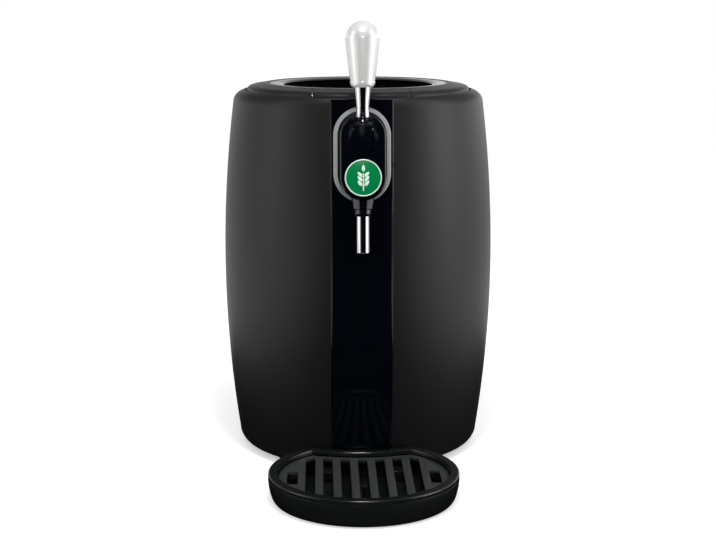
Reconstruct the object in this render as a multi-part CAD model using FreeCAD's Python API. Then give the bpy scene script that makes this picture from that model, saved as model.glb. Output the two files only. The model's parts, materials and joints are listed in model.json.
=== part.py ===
"""Countertop cooler and dispenser for one standard five-litre mini keg.

Millimetres, +Z up, -Y is the front with the tap, +X is to the right as seen from the front.
Every piece is drawn about the upright axis of the keg, and export_piece moves it so that the
origin is the centre of the base of the whole object's box.
"""
import FreeCAD, Part
import math
import os
from FreeCAD import Matrix, Rotation, Vector

X_AXIS = Vector(1, 0, 0)
Y_AXIS = Vector(0, 1, 0)
Z_AXIS = Vector(0, 0, 1)

# ---------------------------------------------------------------- driving dimensions
BARREL_WIDTH = 272.0        # across the belly
BARREL_FRONT = 127.0        # keg axis to the front of the belly
BARREL_REAR = 146.0         # keg axis to the rear of the belly
BELLY_Z = 188.0             # height of the widest section
BARREL_ARC = 1230.0         # radius of the barrel's upright curve
SEAM_Z = 12.0               # joint between the base pan and the shell
SHOULDER_RISE = 12.5        # height over which the shell rounds over to the deck
SHELL_WALL = 3.0

FOOT_HEIGHT = 4.0
FOOT_RADIUS = 9.0
FOOT_SINK = 2.0

KEG_RADIUS = 86.5
KEG_HEIGHT = 248.0
KEG_PROUD = 3.5             # how far the keg stands out of the cooling cup
HEAD_ROOM = 66.0            # keg's top to the deck beside the lid
CUP_CLEARANCE = 1.5         # keg to the cooling cup
CUP_WALL = 1.5
CUP_FLOOR_Z = 50.0
FOAM_WALL = 17.0

LID_SIDE_INSET = 13.933     # shell's shoulder to the lid's edge at the sides
LID_FRONT_INSET = 5.433     # and at the front
LID_REAR_INSET = 21.933     # and at the rear
LID_GAP = 2.0
LID_WALL = 2.5
LID_RISE = 0.4              # deck to the top of the lid's upright edge
LID_CROWN = 5.1             # rise from there to the dish's rim
DISH_OVAL = 3.5             # how much less the dish reaches to the front than to the side
DISH_DEPTH = 10.0
DISH_WALL = 1.8
DISH_SLOPE = 22.0           # how far the dish's sides run in
TAB_HALF = 45.7

STRIP_WIDTH = 58.5
STRIP_SINK = 1.2            # depth of the groove that the strip lies in
STRIP_PROUD = 1.0
PANEL_PROUD = 1.6
PANEL_DROP = 2.1            # deck to the panel's top
PANEL_HEIGHT = 60.6

TAP_DROP = 53.4             # panel's top to where the tap's axis crosses the shell
TAP_TILT = 6.0              # the tap leans back with the barrel's face
POD_HALF = 20.7
POD_LOW = -37.4
POD_HIGH = 41.0
POD_FRONT = -29.0
POD_BACK = 8.0
FACE_THICK = 2.0
FACE_INSET = 1.4
BADGE_RADIUS = 17.0
BADGE_THICK = 1.6
BADGE_RING = 1.5            # width of the badge's ring
BEER_TUBE_RADIUS = 4.0
BEER_TUBE_WALL = 1.2
SPOUT_WALL = 1.0
SPOUT_PLAY = 1.0            # beer tube to the spout's bore
SPOUT_LOW = -85.7
SPOUT_Y = -19.0
LEVER_TOP = 123.0
HANDLE_LOW = 63.7
HANDLE_RADIUS = 15.75
PIVOT_Y = -18.0
PIVOT_Z = 26.0
PIN_RADIUS = 1.5

TRAY_HALF = 88.5
TRAY_REACH = 48.0           # belly to the widest section of the drip tray
TRAY_FRONT = 75.0
TRAY_REAR = 78.0
TRAY_GAP = 3.0              # tray to the shell
TRAY_HEIGHT = 27.0
TRAY_WALL = 2.2
TRAY_ROUND = 7.5            # how far the bowl draws in towards its base
RIM_THICK = 4.0
RIM_WIDTH = 9.0
GRILLE_THICK = 3.0
GRILLE_DROP = 5.0           # rim's top to the grille's
SLOT_PITCH = 16.5
SLOT_WIDTH = 9.2
LONG_SLOTS = 7
SHORT_SLOT_WIDTH = 10.0
SHORT_SLOT_FRONT = 20.0     # how far it runs to the front of the widest section
SHORT_SLOT_REAR = 11.0      # and to the rear of it

HOUSING_HALF = 96.0         # at the belly's height
HOUSING_DEEP = 71.0         # belly's rear to the housing's rear
HOUSING_LOW = 8.0
HOUSING_DROP = 25.5         # deck to the housing's top
HOUSING_WALL = 2.5
HOUSING_CORNER = 40.0
HOUSING_ROUND = 24.0        # how far its top rounds over
FAN_SIZE = 92.0
FAN_DEPTH = 25.0
FAN_Z = 190.0
FAN_BORDER = 10.0           # louvre panel beyond the fan on each side

# ---------------------------------------------------------------- fits and clearances
RUNNING = 0.05              # pin to the bore that turns on it
SEAT = 0.2                  # between pieces that are assembled into each other
SLACK = 0.4                 # beside a piece that moves
LOFT_STEPS = 7
ROUND_ANGLES = (0.0, 22.5, 45.0, 67.5, 90.0)

# ---------------------------------------------------------------- sizes that follow from these
CUP_RADIUS = KEG_RADIUS + CUP_CLEARANCE
CUP_TOP = CUP_FLOOR_Z + CUP_WALL + KEG_HEIGHT - KEG_PROUD
DECK_Z = CUP_FLOOR_Z + CUP_WALL + KEG_HEIGHT + HEAD_ROOM
SHOULDER_Z = DECK_Z - SHOULDER_RISE
LID_SIDE_Z = DECK_Z + LID_RISE
LID_TOP = LID_SIDE_Z + LID_CROWN
DISH_HALF = KEG_RADIUS
DISH_DEEP_HALF = DISH_HALF - DISH_OVAL
PANEL_TOP_Z = DECK_Z - PANEL_DROP
PANEL_SEAM_Z = PANEL_TOP_Z - PANEL_HEIGHT
TAP_Z = PANEL_TOP_Z - TAP_DROP
SPOUT_RADIUS = BEER_TUBE_RADIUS + SPOUT_PLAY + SPOUT_WALL
TRAY_CENTRE_Y = -BARREL_FRONT - TRAY_REACH
GRILLE_TOP = TRAY_HEIGHT - GRILLE_DROP
SHORT_SLOT_X = (LONG_SLOTS // 2 + 1) * SLOT_PITCH
HOUSING_REAR = BARREL_REAR + HOUSING_DEEP
HOUSING_TOP = DECK_Z - HOUSING_DROP
GRILLE_OPENING = FAN_SIZE + 2.0 * FAN_BORDER


# ---------------------------------------------------------------- drawing helpers
def block(x0, x1, y0, y1, z0, z1):
    return Part.makeBox(x1 - x0, y1 - y0, z1 - z0, Vector(x0, y0, z0))


def slab(half, y0, y1, z0, z1):
    """A block that is centred across X."""
    return block(-half, half, y0, y1, z0, z1)


def rod(radius, start, axis, length):
    return Part.makeCylinder(radius, length, Vector(*start), axis)


def pipe(outer, inner, start, axis, length):
    return rod(outer, start, axis, length).cut(rod(inner, start, axis, length))


def joined(shapes):
    """Several overlapping shapes as one solid."""
    whole = shapes[0].multiFuse(shapes[1:]) if len(shapes) > 1 else shapes[0]
    return whole.removeSplitter()


def half_ellipse(half_width, depth, front, z, centre_y=0.0):
    first, last = (180.0, 360.0) if front else (0.0, 180.0)
    edge = Part.makeCircle(1.0, Vector(0, 0, 0), Z_AXIS, first, last)
    place = Matrix()
    place.scale(half_width, depth, 1.0)
    place.move(Vector(0, centre_y, z))
    return edge.transformGeometry(place).Edges[0]


def oval(half_width, front, rear, z, centre_y=0.0):
    """An egg-shaped outline made of a front and a rear half ellipse."""
    front_edge = half_ellipse(half_width, front, True, z, centre_y)
    rear_edge = half_ellipse(half_width, rear, False, z, centre_y)
    return Part.Wire([front_edge, rear_edge])


def loft(wires):
    return Part.makeLoft(wires, True, False)


def oval_prism(half_width, front, rear, z0, z1, centre_y=0.0):
    face = Part.Face(oval(half_width, front, rear, z0, centre_y))
    return face.extrude(Vector(0, 0, z1 - z0))


def revolved(profile, axis_x=0.0, axis_y=0.0):
    """Turns a closed outline of (radius, z) points about an upright axis."""
    points = [Vector(axis_x + radius, axis_y, z) for radius, z in profile]
    wire = Part.makePolygon(points + [points[0]])
    return Part.Face(wire).revolve(Vector(axis_x, axis_y, 0), Z_AXIS, 360)


def export_piece(name, shape):
    """Writes one piece, moved into the frame of the whole object."""
    moved = shape.copy()
    moved.translate(Vector(0, frame_shift(), 0))
    moved.exportStep("parts/" + name + ".step")


def frame_shift():
    tray_reach = TRAY_FRONT - TRAY_CENTRE_Y
    return (tray_reach - HOUSING_REAR) / 2.0


# ---------------------------------------------------------------- barrel shapes
def belly_drop(z):
    """How far the barrel's side has drawn in at height z."""
    return (z - BELLY_Z) ** 2 / (2.0 * BARREL_ARC)


def barrel_axes(z, offset=0.0):
    inset = offset - belly_drop(z)
    return BARREL_WIDTH / 2.0 + inset, BARREL_FRONT + inset, BARREL_REAR + inset


def barrel(z0, z1, offset=0.0):
    wires = []
    for step in range(LOFT_STEPS):
        z = z0 + (z1 - z0) * step / (LOFT_STEPS - 1)
        wires.append(oval(*barrel_axes(z, offset), z))
    return loft(wires)


def between(start, end, share):
    return [a + (b - a) * share for a, b in zip(start, end)]


def rounded_loft(low_axes, low_z, high_axes, high_z, centre_y=0.0):
    """Rounds over from an upright side at low_z to a level edge at high_z."""
    wires = []
    for angle in ROUND_ANGLES:
        turn = math.radians(angle)
        axes = between(low_axes, high_axes, 1.0 - math.cos(turn))
        z = low_z + (high_z - low_z) * math.sin(turn)
        wires.append(oval(*axes, z, centre_y))
    return loft(wires)


LID_HALF = barrel_axes(SHOULDER_Z)[0] - LID_SIDE_INSET
LID_FRONT = barrel_axes(SHOULDER_Z)[1] - LID_FRONT_INSET
LID_REAR = barrel_axes(SHOULDER_Z)[2] - LID_REAR_INSET


def lid_axes(offset=0.0):
    return LID_HALF + offset, LID_FRONT + offset, LID_REAR + offset


def dish_axes(offset=0.0):
    return DISH_HALF + offset, DISH_DEEP_HALF + offset, DISH_DEEP_HALF + offset


# ---------------------------------------------------------------- barrel pieces
def strip_slot(z0, z1, spread=0.0):
    reach = BARREL_FRONT + PANEL_PROUD + 10.0
    return slab(STRIP_WIDTH / 2.0 + spread, -reach, -BARREL_FRONT / 2.0, z0, z1)


STRIP_LOW_Z = SEAM_Z + 2.0
DECK_LAND = 4.0             # how far the shoulder would run on inside the lid's opening
COLLAR_TOP = SHOULDER_Z - 1.0
COLLAR_THICK = 4.0
HINGE_Y = LID_REAR + 6.0
HINGE_Z = DECK_Z - 2.5
HINGE_X = 34.0
KNUCKLE_RADIUS = 3.5
KNUCKLE_HALF = 6.0
EAR_THICK = 3.7
BRACKET_REAR = HINGE_Y + 2.0 * KNUCKLE_RADIUS
BRACKET_THICK = 2.5
HINGE_PIN_RADIUS = 1.5
BAY_REACH = 14.0            # how far the hinge bays run in under the lid's edge
COOLER_HALF = 54.0          # half width of the cooler's way through the shell
COOLER_TALL = 62.0          # half height of it


def hinge_bays(spread=0.0):
    """The two bays in the rear deck where the hinge knuckles sit."""
    half = KNUCKLE_HALF + EAR_THICK + SLACK + spread
    bays = []
    for side in (-1, 1):
        centre = side * HINGE_X
        bays.append(block(centre - half, centre + half, LID_REAR - BAY_REACH,
                          BRACKET_REAR + spread + 0.5, COLLAR_TOP, DECK_Z + 6.0))
    return bays


def shouldered(offset):
    """The barrel with its rounded shoulder, before the lid's opening is cut."""
    low = barrel(SEAM_Z, SHOULDER_Z, offset)
    shoulder = rounded_loft(barrel_axes(SHOULDER_Z, offset), SHOULDER_Z,
                            lid_axes(LID_GAP + offset - DECK_LAND), DECK_Z + offset)
    return joined([low, shoulder])


def body_shell():
    shell = shouldered(0.0).cut(shouldered(-SHELL_WALL))
    shell = shell.cut(oval_prism(*lid_axes(LID_GAP), COLLAR_TOP, DECK_Z + 1.0))
    for recess in (strip_slot(STRIP_LOW_Z, DECK_Z + 1.0, SEAT), bezel_plug(SEAT)):
        shell = shell.cut(recess.cut(barrel(SEAM_Z, DECK_Z, -STRIP_SINK)))
    shell = shell.cut(tap_place(stadium(POD_HALF + SEAT, POD_LOW - SEAT, POD_HIGH + SEAT,
                                        POD_FRONT, POD_BACK + 10.0)))
    for bay in hinge_bays():
        shell = shell.cut(bay)
    window = slab(COOLER_HALF, BARREL_REAR / 2.0, BARREL_REAR + 5.0,
                  FAN_Z - COOLER_TALL, FAN_Z + COOLER_TALL)
    return shell.cut(window)


def front_strip():
    strip = barrel(SEAM_Z, PANEL_SEAM_Z, STRIP_PROUD).cut(barrel(SEAM_Z, DECK_Z, -STRIP_SINK))
    strip = strip.common(strip_slot(STRIP_LOW_Z + SEAT, PANEL_SEAM_Z - SEAT))
    return strip.cut(bezel_plug(SEAT))


def tap_panel():
    panel = barrel(PANEL_SEAM_Z - 10.0, PANEL_TOP_Z, PANEL_PROUD).cut(
        barrel(SEAM_Z, DECK_Z, -STRIP_SINK))
    panel = panel.common(strip_slot(PANEL_SEAM_Z + SEAT, PANEL_TOP_Z))
    return panel.cut(bezel_plug(SEAT))


PAN_INSET = 0.8
PAN_ROUND = 9.0
PAN_FLOOR = 3.0
PAN_LIP = 10.0
FOOT_X = 74.0
REAR_FOOT_X = 62.0
FOOT_FRONT_Y = -62.0
FOOT_REAR_Y = HOUSING_REAR - 45.0
RAIL_X = 34.0
RAIL_HALF = 5.0
RAIL_LOW = 6.0
RAIL_HIGH = 10.0
RAIL_REACH = 24.0           # how far the tray's rails stand out of the base


def foot_places():
    return [(side * x, y) for x, y in ((FOOT_X, FOOT_FRONT_Y), (REAR_FOOT_X, FOOT_REAR_Y))
            for side in (-1, 1)]


def base_pan():
    bowl = rounded_loft(barrel_axes(SEAM_Z, -PAN_INSET), SEAM_Z,
                        barrel_axes(FOOT_HEIGHT, -PAN_ROUND), FOOT_HEIGHT)
    lip_offset = -SHELL_WALL - SEAT
    lip = barrel(SEAM_Z - 1.0, SEAM_Z + PAN_LIP, lip_offset)
    pan = joined([bowl, lip])
    hollow = barrel(FOOT_HEIGHT + PAN_FLOOR, SEAM_Z + PAN_LIP + 1.0, -PAN_ROUND - PAN_FLOOR)
    pan = pan.cut(hollow)
    front_y = -barrel_axes(SEAM_Z)[1]
    rails = [block(side * RAIL_X - RAIL_HALF, side * RAIL_X + RAIL_HALF,
                   front_y - RAIL_REACH, front_y + PAN_ROUND + 4.0, RAIL_LOW, RAIL_HIGH)
             for side in (-1, 1)]
    pan = joined([pan] + rails)
    for x, y in foot_places()[:2]:
        pan = pan.cut(rod(FOOT_RADIUS + SEAT, (x, y, FOOT_HEIGHT - 1.0), Z_AXIS, FOOT_SINK + 1.0))
    return pan


def rubber_feet():
    """Front feet sit in the base pan, rear feet under the rear housing."""
    feet = []
    for x, y in foot_places():
        top = FOOT_HEIGHT + FOOT_SINK if y < 0 else HOUSING_LOW + FOOT_SINK / 2.0
        feet.append(rod(FOOT_RADIUS, (x, y, 0), Z_AXIS, top))
    return Part.makeCompound(feet)


# ---------------------------------------------------------------- keg well
FOAM_RADIUS = CUP_RADIUS + CUP_WALL + SEAT + FOAM_WALL
CUP_RIM = 4.0               # width of the cup's turned-out rim
MOUTH_RADIUS = CUP_RADIUS + 2.0
LINER_TOP_RADIUS = MOUTH_RADIUS + 8.0
LINER_WALL = 2.0
COLD_HALF = 30.0
PROBE_RADIUS = 3.0
PROBE_X = 36.0
PROBE_Z = 240.0
PROBE_LENGTH = 20.0
STAND_RADIUS = 70.0
STAND_WALL = 4.0


def cooling_cup():
    outer_radius = CUP_RADIUS + CUP_WALL
    outer = rod(outer_radius, (0, 0, CUP_FLOOR_Z), Z_AXIS, CUP_TOP - CUP_FLOOR_Z)
    inner = rod(CUP_RADIUS, (0, 0, CUP_FLOOR_Z + CUP_WALL), Z_AXIS, CUP_TOP - CUP_FLOOR_Z)
    rim = pipe(outer_radius + CUP_RIM, CUP_RADIUS, (0, 0, CUP_TOP - CUP_WALL), Z_AXIS, CUP_WALL)
    return joined([outer.cut(inner), rim]).cut(tap_place(inlet_form(SEAT)))


def cold_window(spread):
    half = COLD_HALF + spread
    return slab(half, CUP_RADIUS / 2.0, FOAM_RADIUS + 10.0, FAN_Z - half, FAN_Z + half)


def foam_jacket():
    inner_radius = CUP_RADIUS + CUP_WALL + SEAT
    height = CUP_TOP - CUP_WALL - CUP_FLOOR_Z - SEAT
    jacket = pipe(FOAM_RADIUS, inner_radius, (0, 0, CUP_FLOOR_Z), Z_AXIS, height)
    jacket = jacket.cut(tap_place(plate_form(POD_BACK - SEAT, PLATE_BACK + SCREW_HEAD + SEAT,
                                             SEAT)))
    return jacket.cut(cold_window(SEAT)).cut(probe_bay(SEAT))


def foam_floor():
    return rod(FOAM_RADIUS, (0, 0, CUP_FLOOR_Z - FOAM_WALL), Z_AXIS, FOAM_WALL)


def cup_stand():
    """A ribbed ring that carries the foam floor and the cup on the base pan."""
    low = FOOT_HEIGHT + PAN_FLOOR
    high = CUP_FLOOR_Z - FOAM_WALL
    ring = pipe(STAND_RADIUS, STAND_RADIUS - STAND_WALL, (0, 0, low), Z_AXIS, high - low)
    cross = [slab(STAND_RADIUS - 1.0, -STAND_WALL / 2.0, STAND_WALL / 2.0, low, high),
             block(-STAND_WALL / 2.0, STAND_WALL / 2.0, 1.0 - STAND_RADIUS, STAND_RADIUS - 1.0,
                   low, high)]
    return joined([ring] + cross)


def liner_radius(z):
    """Inner radius of the funnel between the cup's rim and the well's mouth."""
    share = (z - CUP_TOP) / (COLLAR_TOP - COLLAR_THICK - CUP_TOP)
    return CUP_RADIUS + (LINER_TOP_RADIUS - CUP_RADIUS) * share


def well_liner():
    top = COLLAR_TOP - COLLAR_THICK
    profile = [(liner_radius(CUP_TOP), CUP_TOP), (liner_radius(CUP_TOP) + LINER_WALL, CUP_TOP),
               (liner_radius(top) + LINER_WALL, top), (liner_radius(top), top)]
    liner = revolved(profile)
    return liner.cut(tap_place(rod(INLET_RADIUS + SEAT, (0, INLET_FROM - 2.0, TUBE_RUN_Z), Y_AXIS,
                                   20.0)))


def top_collar():
    """The deck under the lid: it closes the gap between the shell and the well."""
    low = COLLAR_TOP - COLLAR_THICK
    deck = barrel(low, COLLAR_TOP, -SHELL_WALL - SEAT)
    deck = deck.cut(rod(MOUTH_RADIUS, (0, 0, low - 1.0), Z_AXIS, COLLAR_THICK + 2.0))
    return deck.cut(tap_place(stadium(POD_HALF + 2.0, POD_LOW, POD_HIGH + 4.0,
                                      POD_FRONT, PLATE_BACK + 1.0)))


def hinge_bracket():
    """Ears on a foot plate, one pair at each end, that hold the lid's hinge pins."""
    pieces = []
    outer = KNUCKLE_HALF + EAR_THICK
    foot_top = COLLAR_TOP + BRACKET_THICK
    foot_front = LID_REAR + LID_GAP + SLACK
    for side in (-1, 1):
        centre = side * HINGE_X
        pieces.append(block(centre - outer, centre + outer, foot_front,
                            BRACKET_REAR, COLLAR_TOP, foot_top))
        for way in (-1, 1):
            near = centre + way * (KNUCKLE_HALF + SLACK)
            far = centre + way * outer
            low_x, high_x = min(near, far), max(near, far)
            ear = block(low_x, high_x, foot_front, HINGE_Y + KNUCKLE_RADIUS,
                        COLLAR_TOP, HINGE_Z)
            ear = ear.fuse(rod(KNUCKLE_RADIUS, (low_x, HINGE_Y, HINGE_Z), X_AXIS,
                               high_x - low_x))
            pieces.append(ear)
    bridge = slab(HINGE_X, HINGE_Y - 1.0, BRACKET_REAR, COLLAR_TOP, foot_top)
    bracket = joined(pieces + [bridge])
    for start in hinge_pin_starts():
        bracket = bracket.cut(rod(HINGE_PIN_RADIUS, start, X_AXIS, hinge_pin_length()))
    return bracket


def hinge_pin_length():
    return 2.0 * (KNUCKLE_HALF + EAR_THICK)


def hinge_pin_starts():
    return [(side * HINGE_X - hinge_pin_length() / 2.0, HINGE_Y, HINGE_Z) for side in (-1, 1)]


def hinge_pins():
    return Part.makeCompound([rod(HINGE_PIN_RADIUS, start, X_AXIS, hinge_pin_length())
                              for start in hinge_pin_starts()])


# ---------------------------------------------------------------- lid
GASKET_THICK = 3.0
LID_LOW = COLLAR_TOP + GASKET_THICK
COVER_THICK = 2.0
PLUG_RADIUS = MOUTH_RADIUS - 6.0
PLUG_DEEP = 14.0
PLUG_BEVEL = 6.0
TAB_AXIS_Y = 2.0 - MOUTH_RADIUS
TAB_AXIS_Z = LID_TOP - 7.0
TAB_BARREL = 3.0
TAB_RIB = 4.0               # thickness of the ribs that hold the tab's pin
TAB_LIP_Z = LID_TOP - 10.5
HOOK_BOTTOM = COLLAR_TOP - COLLAR_THICK - 3.7
HOOK_THICK = 2.5
HOOK_HALF = 8.0
HOOK_REACH = MOUTH_RADIUS - 1.4     # the catch's bead stays clear of the collar's edge
HOOK_PLAY = 1.5             # beside the hook in the plates it passes through


def lid_crown(offset=0.0):
    """The lid's outer form, or its hollow when offset is negative."""
    side = oval_prism(*lid_axes(offset), LID_LOW, LID_SIDE_Z + offset)
    crown = rounded_loft(lid_axes(offset), LID_SIDE_Z + offset, dish_axes(DISH_WALL + SEAT + 0.4),
                         LID_TOP + offset)
    return joined([side, crown])


def lid_skin():
    skin = lid_crown().cut(lid_crown(-LID_WALL))
    return skin.cut(oval_prism(*dish_axes(DISH_WALL + SEAT), LID_LOW, LID_TOP + 1.0))


def tab_bay(spread=0.0):
    return slab(TAB_HALF + spread, -LID_FRONT - 5.0, TAB_AXIS_Y + 20.0, LID_LOW - 1.0,
                LID_TOP + 1.0)


def tab_limit(spread=0.0):
    """Everything outside the ring of shell that stays round the dish."""
    return oval_prism(*dish_axes(DISH_WALL + SEAT + spread), LID_LOW - 2.0, LID_TOP + 2.0)


def lid_shell():
    skin = lid_skin()
    opening = tab_bay().cut(tab_limit(1.6))
    skin = skin.cut(opening)
    pieces = [skin]
    hollow = lid_crown(-LID_WALL + 0.6)
    for side in (-1, 1):
        inner, outer = sorted((side * (TAB_HALF + SEAT), side * (TAB_HALF + SEAT + TAB_RIB)))
        rib = block(inner, outer, TAB_AXIS_Y - 12.0, TAB_AXIS_Y + 14.0,
                    LID_LOW + COVER_THICK + SEAT, LID_TOP)
        pieces.append(rib.common(hollow))
        centre = side * HINGE_X
        arm = block(centre - KNUCKLE_HALF, centre + KNUCKLE_HALF, LID_REAR - 8.0, HINGE_Y,
                    HINGE_Z - KNUCKLE_RADIUS + 0.5, HINGE_Z + KNUCKLE_RADIUS)
        arm = arm.cut(lid_crown(-LID_WALL))
        pieces.append(arm)
        pieces.append(rod(KNUCKLE_RADIUS, (centre - KNUCKLE_HALF, HINGE_Y, HINGE_Z), X_AXIS,
                          2.0 * KNUCKLE_HALF))
    shell = joined(pieces)
    shell = shell.cut(tab_limit())
    for start in hinge_pin_starts():
        shell = shell.cut(rod(HINGE_PIN_RADIUS + RUNNING, start, X_AXIS, hinge_pin_length()))
    rib_reach = TAB_HALF + SEAT + TAB_RIB
    return shell.cut(rod(PIN_RADIUS, (-rib_reach, TAB_AXIS_Y, TAB_AXIS_Z), X_AXIS,
                         2.0 * rib_reach))


def lid_tab():
    """The press tab in the lid's front edge, with its barrel and latch hook."""
    plate = lid_skin().common(tab_bay(-SLACK)).cut(tab_limit(2.0))
    plate = plate.cut(slab(TAB_HALF, -LID_FRONT - 5.0, 0.0, LID_LOW - 1.0, TAB_LIP_Z))
    barrel_half = TAB_HALF - SLACK
    tube = rod(TAB_BARREL, (-barrel_half, TAB_AXIS_Y, TAB_AXIS_Z), X_AXIS, 2.0 * barrel_half)
    web = slab(barrel_half - 4.0, TAB_AXIS_Y - TAB_BARREL, TAB_AXIS_Y, TAB_AXIS_Z, LID_TOP)
    web = web.common(lid_crown(-LID_WALL / 2.0))
    shank = slab(HOOK_HALF, TAB_AXIS_Y, TAB_AXIS_Y + HOOK_THICK, HOOK_BOTTOM, TAB_AXIS_Z)
    nose = slab(HOOK_HALF, -HOOK_REACH, TAB_AXIS_Y + HOOK_THICK, HOOK_BOTTOM,
                COLLAR_TOP - COLLAR_THICK - SLACK)
    tab = joined([plate, web, tube, shank, nose])
    return tab.cut(rod(PIN_RADIUS + RUNNING, (-TAB_HALF, TAB_AXIS_Y, TAB_AXIS_Z), X_AXIS,
                       2.0 * TAB_HALF))


def tab_pin():
    half = TAB_HALF + TAB_RIB
    return rod(PIN_RADIUS, (-half, TAB_AXIS_Y, TAB_AXIS_Z), X_AXIS, 2.0 * half)


def lid_dish():
    """A shallow round well whose sides roll over into the lid's crown."""
    floor_z = LID_TOP - DISH_DEPTH
    rim = oval_prism(*dish_axes(DISH_WALL), LID_TOP - DISH_WALL, LID_TOP)
    outer = rounded_loft(dish_axes(DISH_WALL - DISH_SLOPE), floor_z - DISH_WALL,
                         dish_axes(DISH_WALL), LID_TOP - DISH_WALL)
    inner = rounded_loft(dish_axes(-DISH_SLOPE), floor_z, dish_axes(), LID_TOP)
    return joined([rim, outer]).cut(inner)


def hook_way(front_y):
    """The room that the hook needs, from front_y to behind its shank."""
    return slab(HOOK_HALF + HOOK_PLAY, front_y, TAB_AXIS_Y + HOOK_THICK + 6.0,
                HOOK_BOTTOM - 10.0, LID_TOP)


def lid_cover():
    """The plate that closes the lid from below."""
    cover = oval_prism(*lid_axes(-LID_WALL - SEAT), LID_LOW, LID_LOW + COVER_THICK)
    cover = cover.cut(slab(TAB_HALF + 1.0, -LID_FRONT, TAB_AXIS_Y - 14.0, LID_LOW - 1.0,
                           LID_LOW + COVER_THICK + 1.0))
    return cover.cut(hook_way(TAB_AXIS_Y - 5.0))


def lid_plug():
    """Foam that hangs into the well's mouth."""
    low = LID_LOW - PLUG_DEEP
    plug = revolved([(0, low), (PLUG_RADIUS - PLUG_BEVEL, low), (PLUG_RADIUS, low + PLUG_BEVEL),
                     (PLUG_RADIUS, LID_LOW), (0, LID_LOW)])
    return plug.cut(hook_way(-LID_FRONT))


def lid_gasket():
    ring = oval_prism(*lid_axes(-3.0), COLLAR_TOP, LID_LOW)
    return ring.cut(oval_prism(*lid_axes(-9.0), COLLAR_TOP, LID_LOW))


# ---------------------------------------------------------------- tap, in its own leaning frame
PLATE_BACK = POD_BACK + 3.0
PLATE_HALF = POD_HALF + 6.3
SCREW_HEAD = 1.8            # thickness of the plate screws' heads
BEZEL_HALF = POD_HALF + 5.8
BEZEL_WALL = 3.8
BEZEL_LOW = POD_LOW - 3.0
BEZEL_HIGH = POD_HIGH + 6.3
BEZEL_FRONT = -4.0
BADGE_Z = POD_LOW + POD_HALF
TONGUE_HALF = 8.6
TONGUE_LOW = BADGE_Z + BADGE_RADIUS + 3.3
TONGUE_THICK = 3.5
POCKET_HALF = TONGUE_HALF + 0.9
POCKET_BACK = -11.0
POCKET_LOW = TONGUE_LOW - 4.0
ROCKER_TOP = 33.0
HUB_RADIUS = 5.5
TUBE_RUN_Z = -5.0
TUBE_BEND = 12.0
INLET_RADIUS = BEER_TUBE_RADIUS + 2.0
INLET_TO = barrel_axes(TAP_Z)[1] - MOUTH_RADIUS + 0.55
INLET_FROM = INLET_TO - 9.5
BARB_LENGTH = 4.0
SLIDER_FRONT = -8.6
SLIDER_BACK = -1.4
SLIDER_HALF = 4.2
SLIDER_TOP = 31.5
FINGER_HALF = 3.0
FINGER_LOW = 24.5
FINGER_HIGH = 27.5
FINGER_END = -4.5
WINDOW_PLAY = 1.8           # above and below the finger, because it swings
COIL_SMALL = 1.2            # radius of the conical spring at the slider
COIL_LARGE = 3.0            # and at the top of its channel
COIL_WIRE = 0.22
COIL_TURNS = 4
PIN_HALF = POD_HALF - 3.0
CONE_LOW = -45.0
RING_LOW = -52.1
STEM_AXIS_Y = -20.0
CHANNEL_TOP = POD_HIGH - 3.0


def tap_place(shape):
    """Moves a piece from the tap's leaning frame to its place on the shell."""
    placed = shape.copy()
    placed.rotate(Vector(0, 0, 0), X_AXIS, -TAP_TILT)
    placed.translate(Vector(0, -barrel_axes(TAP_Z)[1], TAP_Z))
    return placed


def stadium(half, low, high, y0, y1):
    """A prism along Y whose outline has round ends, from low to high."""
    low_centre = low + half
    high_centre = high - half
    right = Part.LineSegment(Vector(half, y0, low_centre), Vector(half, y0, high_centre))
    top = Part.Arc(Vector(half, y0, high_centre), Vector(0, y0, high), Vector(-half, y0, high_centre))
    left = Part.LineSegment(Vector(-half, y0, high_centre), Vector(-half, y0, low_centre))
    base = Part.Arc(Vector(-half, y0, low_centre), Vector(0, y0, low), Vector(half, y0, low_centre))
    wire = Part.Wire([right.toShape(), top.toShape(), left.toShape(), base.toShape()])
    return Part.Face(wire).extrude(Vector(0, y1 - y0, 0))


def bezel_plug(spread=0.0):
    return tap_place(stadium(BEZEL_HALF + spread, BEZEL_LOW - spread, BEZEL_HIGH + spread,
                             POD_FRONT, POD_BACK + 6.0))


def tap_bezel():
    outer = stadium(BEZEL_HALF, BEZEL_LOW, BEZEL_HIGH, BEZEL_FRONT, POD_BACK)
    outer = outer.makeFillet(1.6, [edge for edge in outer.Edges
                                   if edge.BoundBox.YMax < BEZEL_FRONT + 0.01])
    inner_half = BEZEL_HALF - BEZEL_WALL
    inner = stadium(inner_half, BEZEL_LOW + BEZEL_WALL, BEZEL_HIGH - BEZEL_WALL,
                    BEZEL_FRONT - 5.0, POD_BACK + 5.0)
    ring = outer.cut(inner)
    ring = ring.cut(stadium(POD_HALF + SEAT, POD_LOW - SEAT, POD_HIGH + SEAT,
                            BEZEL_FRONT - 5.0, POD_BACK + 5.0))
    return tap_place(ring).cut(barrel(SEAM_Z, DECK_Z, -STRIP_SINK))


def tube_path():
    """Straight in from the keg, one bend, then straight down the spout."""
    start = Vector(0, INLET_FROM + 2.0, TUBE_RUN_Z)
    bend_from = Vector(0, SPOUT_Y + TUBE_BEND, TUBE_RUN_Z)
    bend_to = Vector(0, SPOUT_Y, TUBE_RUN_Z - TUBE_BEND)
    lean = TUBE_BEND * math.sin(math.radians(45.0))
    middle = Vector(0, SPOUT_Y + TUBE_BEND - lean, TUBE_RUN_Z - TUBE_BEND + lean)
    end = Vector(0, SPOUT_Y, SPOUT_LOW + 4.0)
    return start, bend_from, middle, bend_to, end


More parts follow.
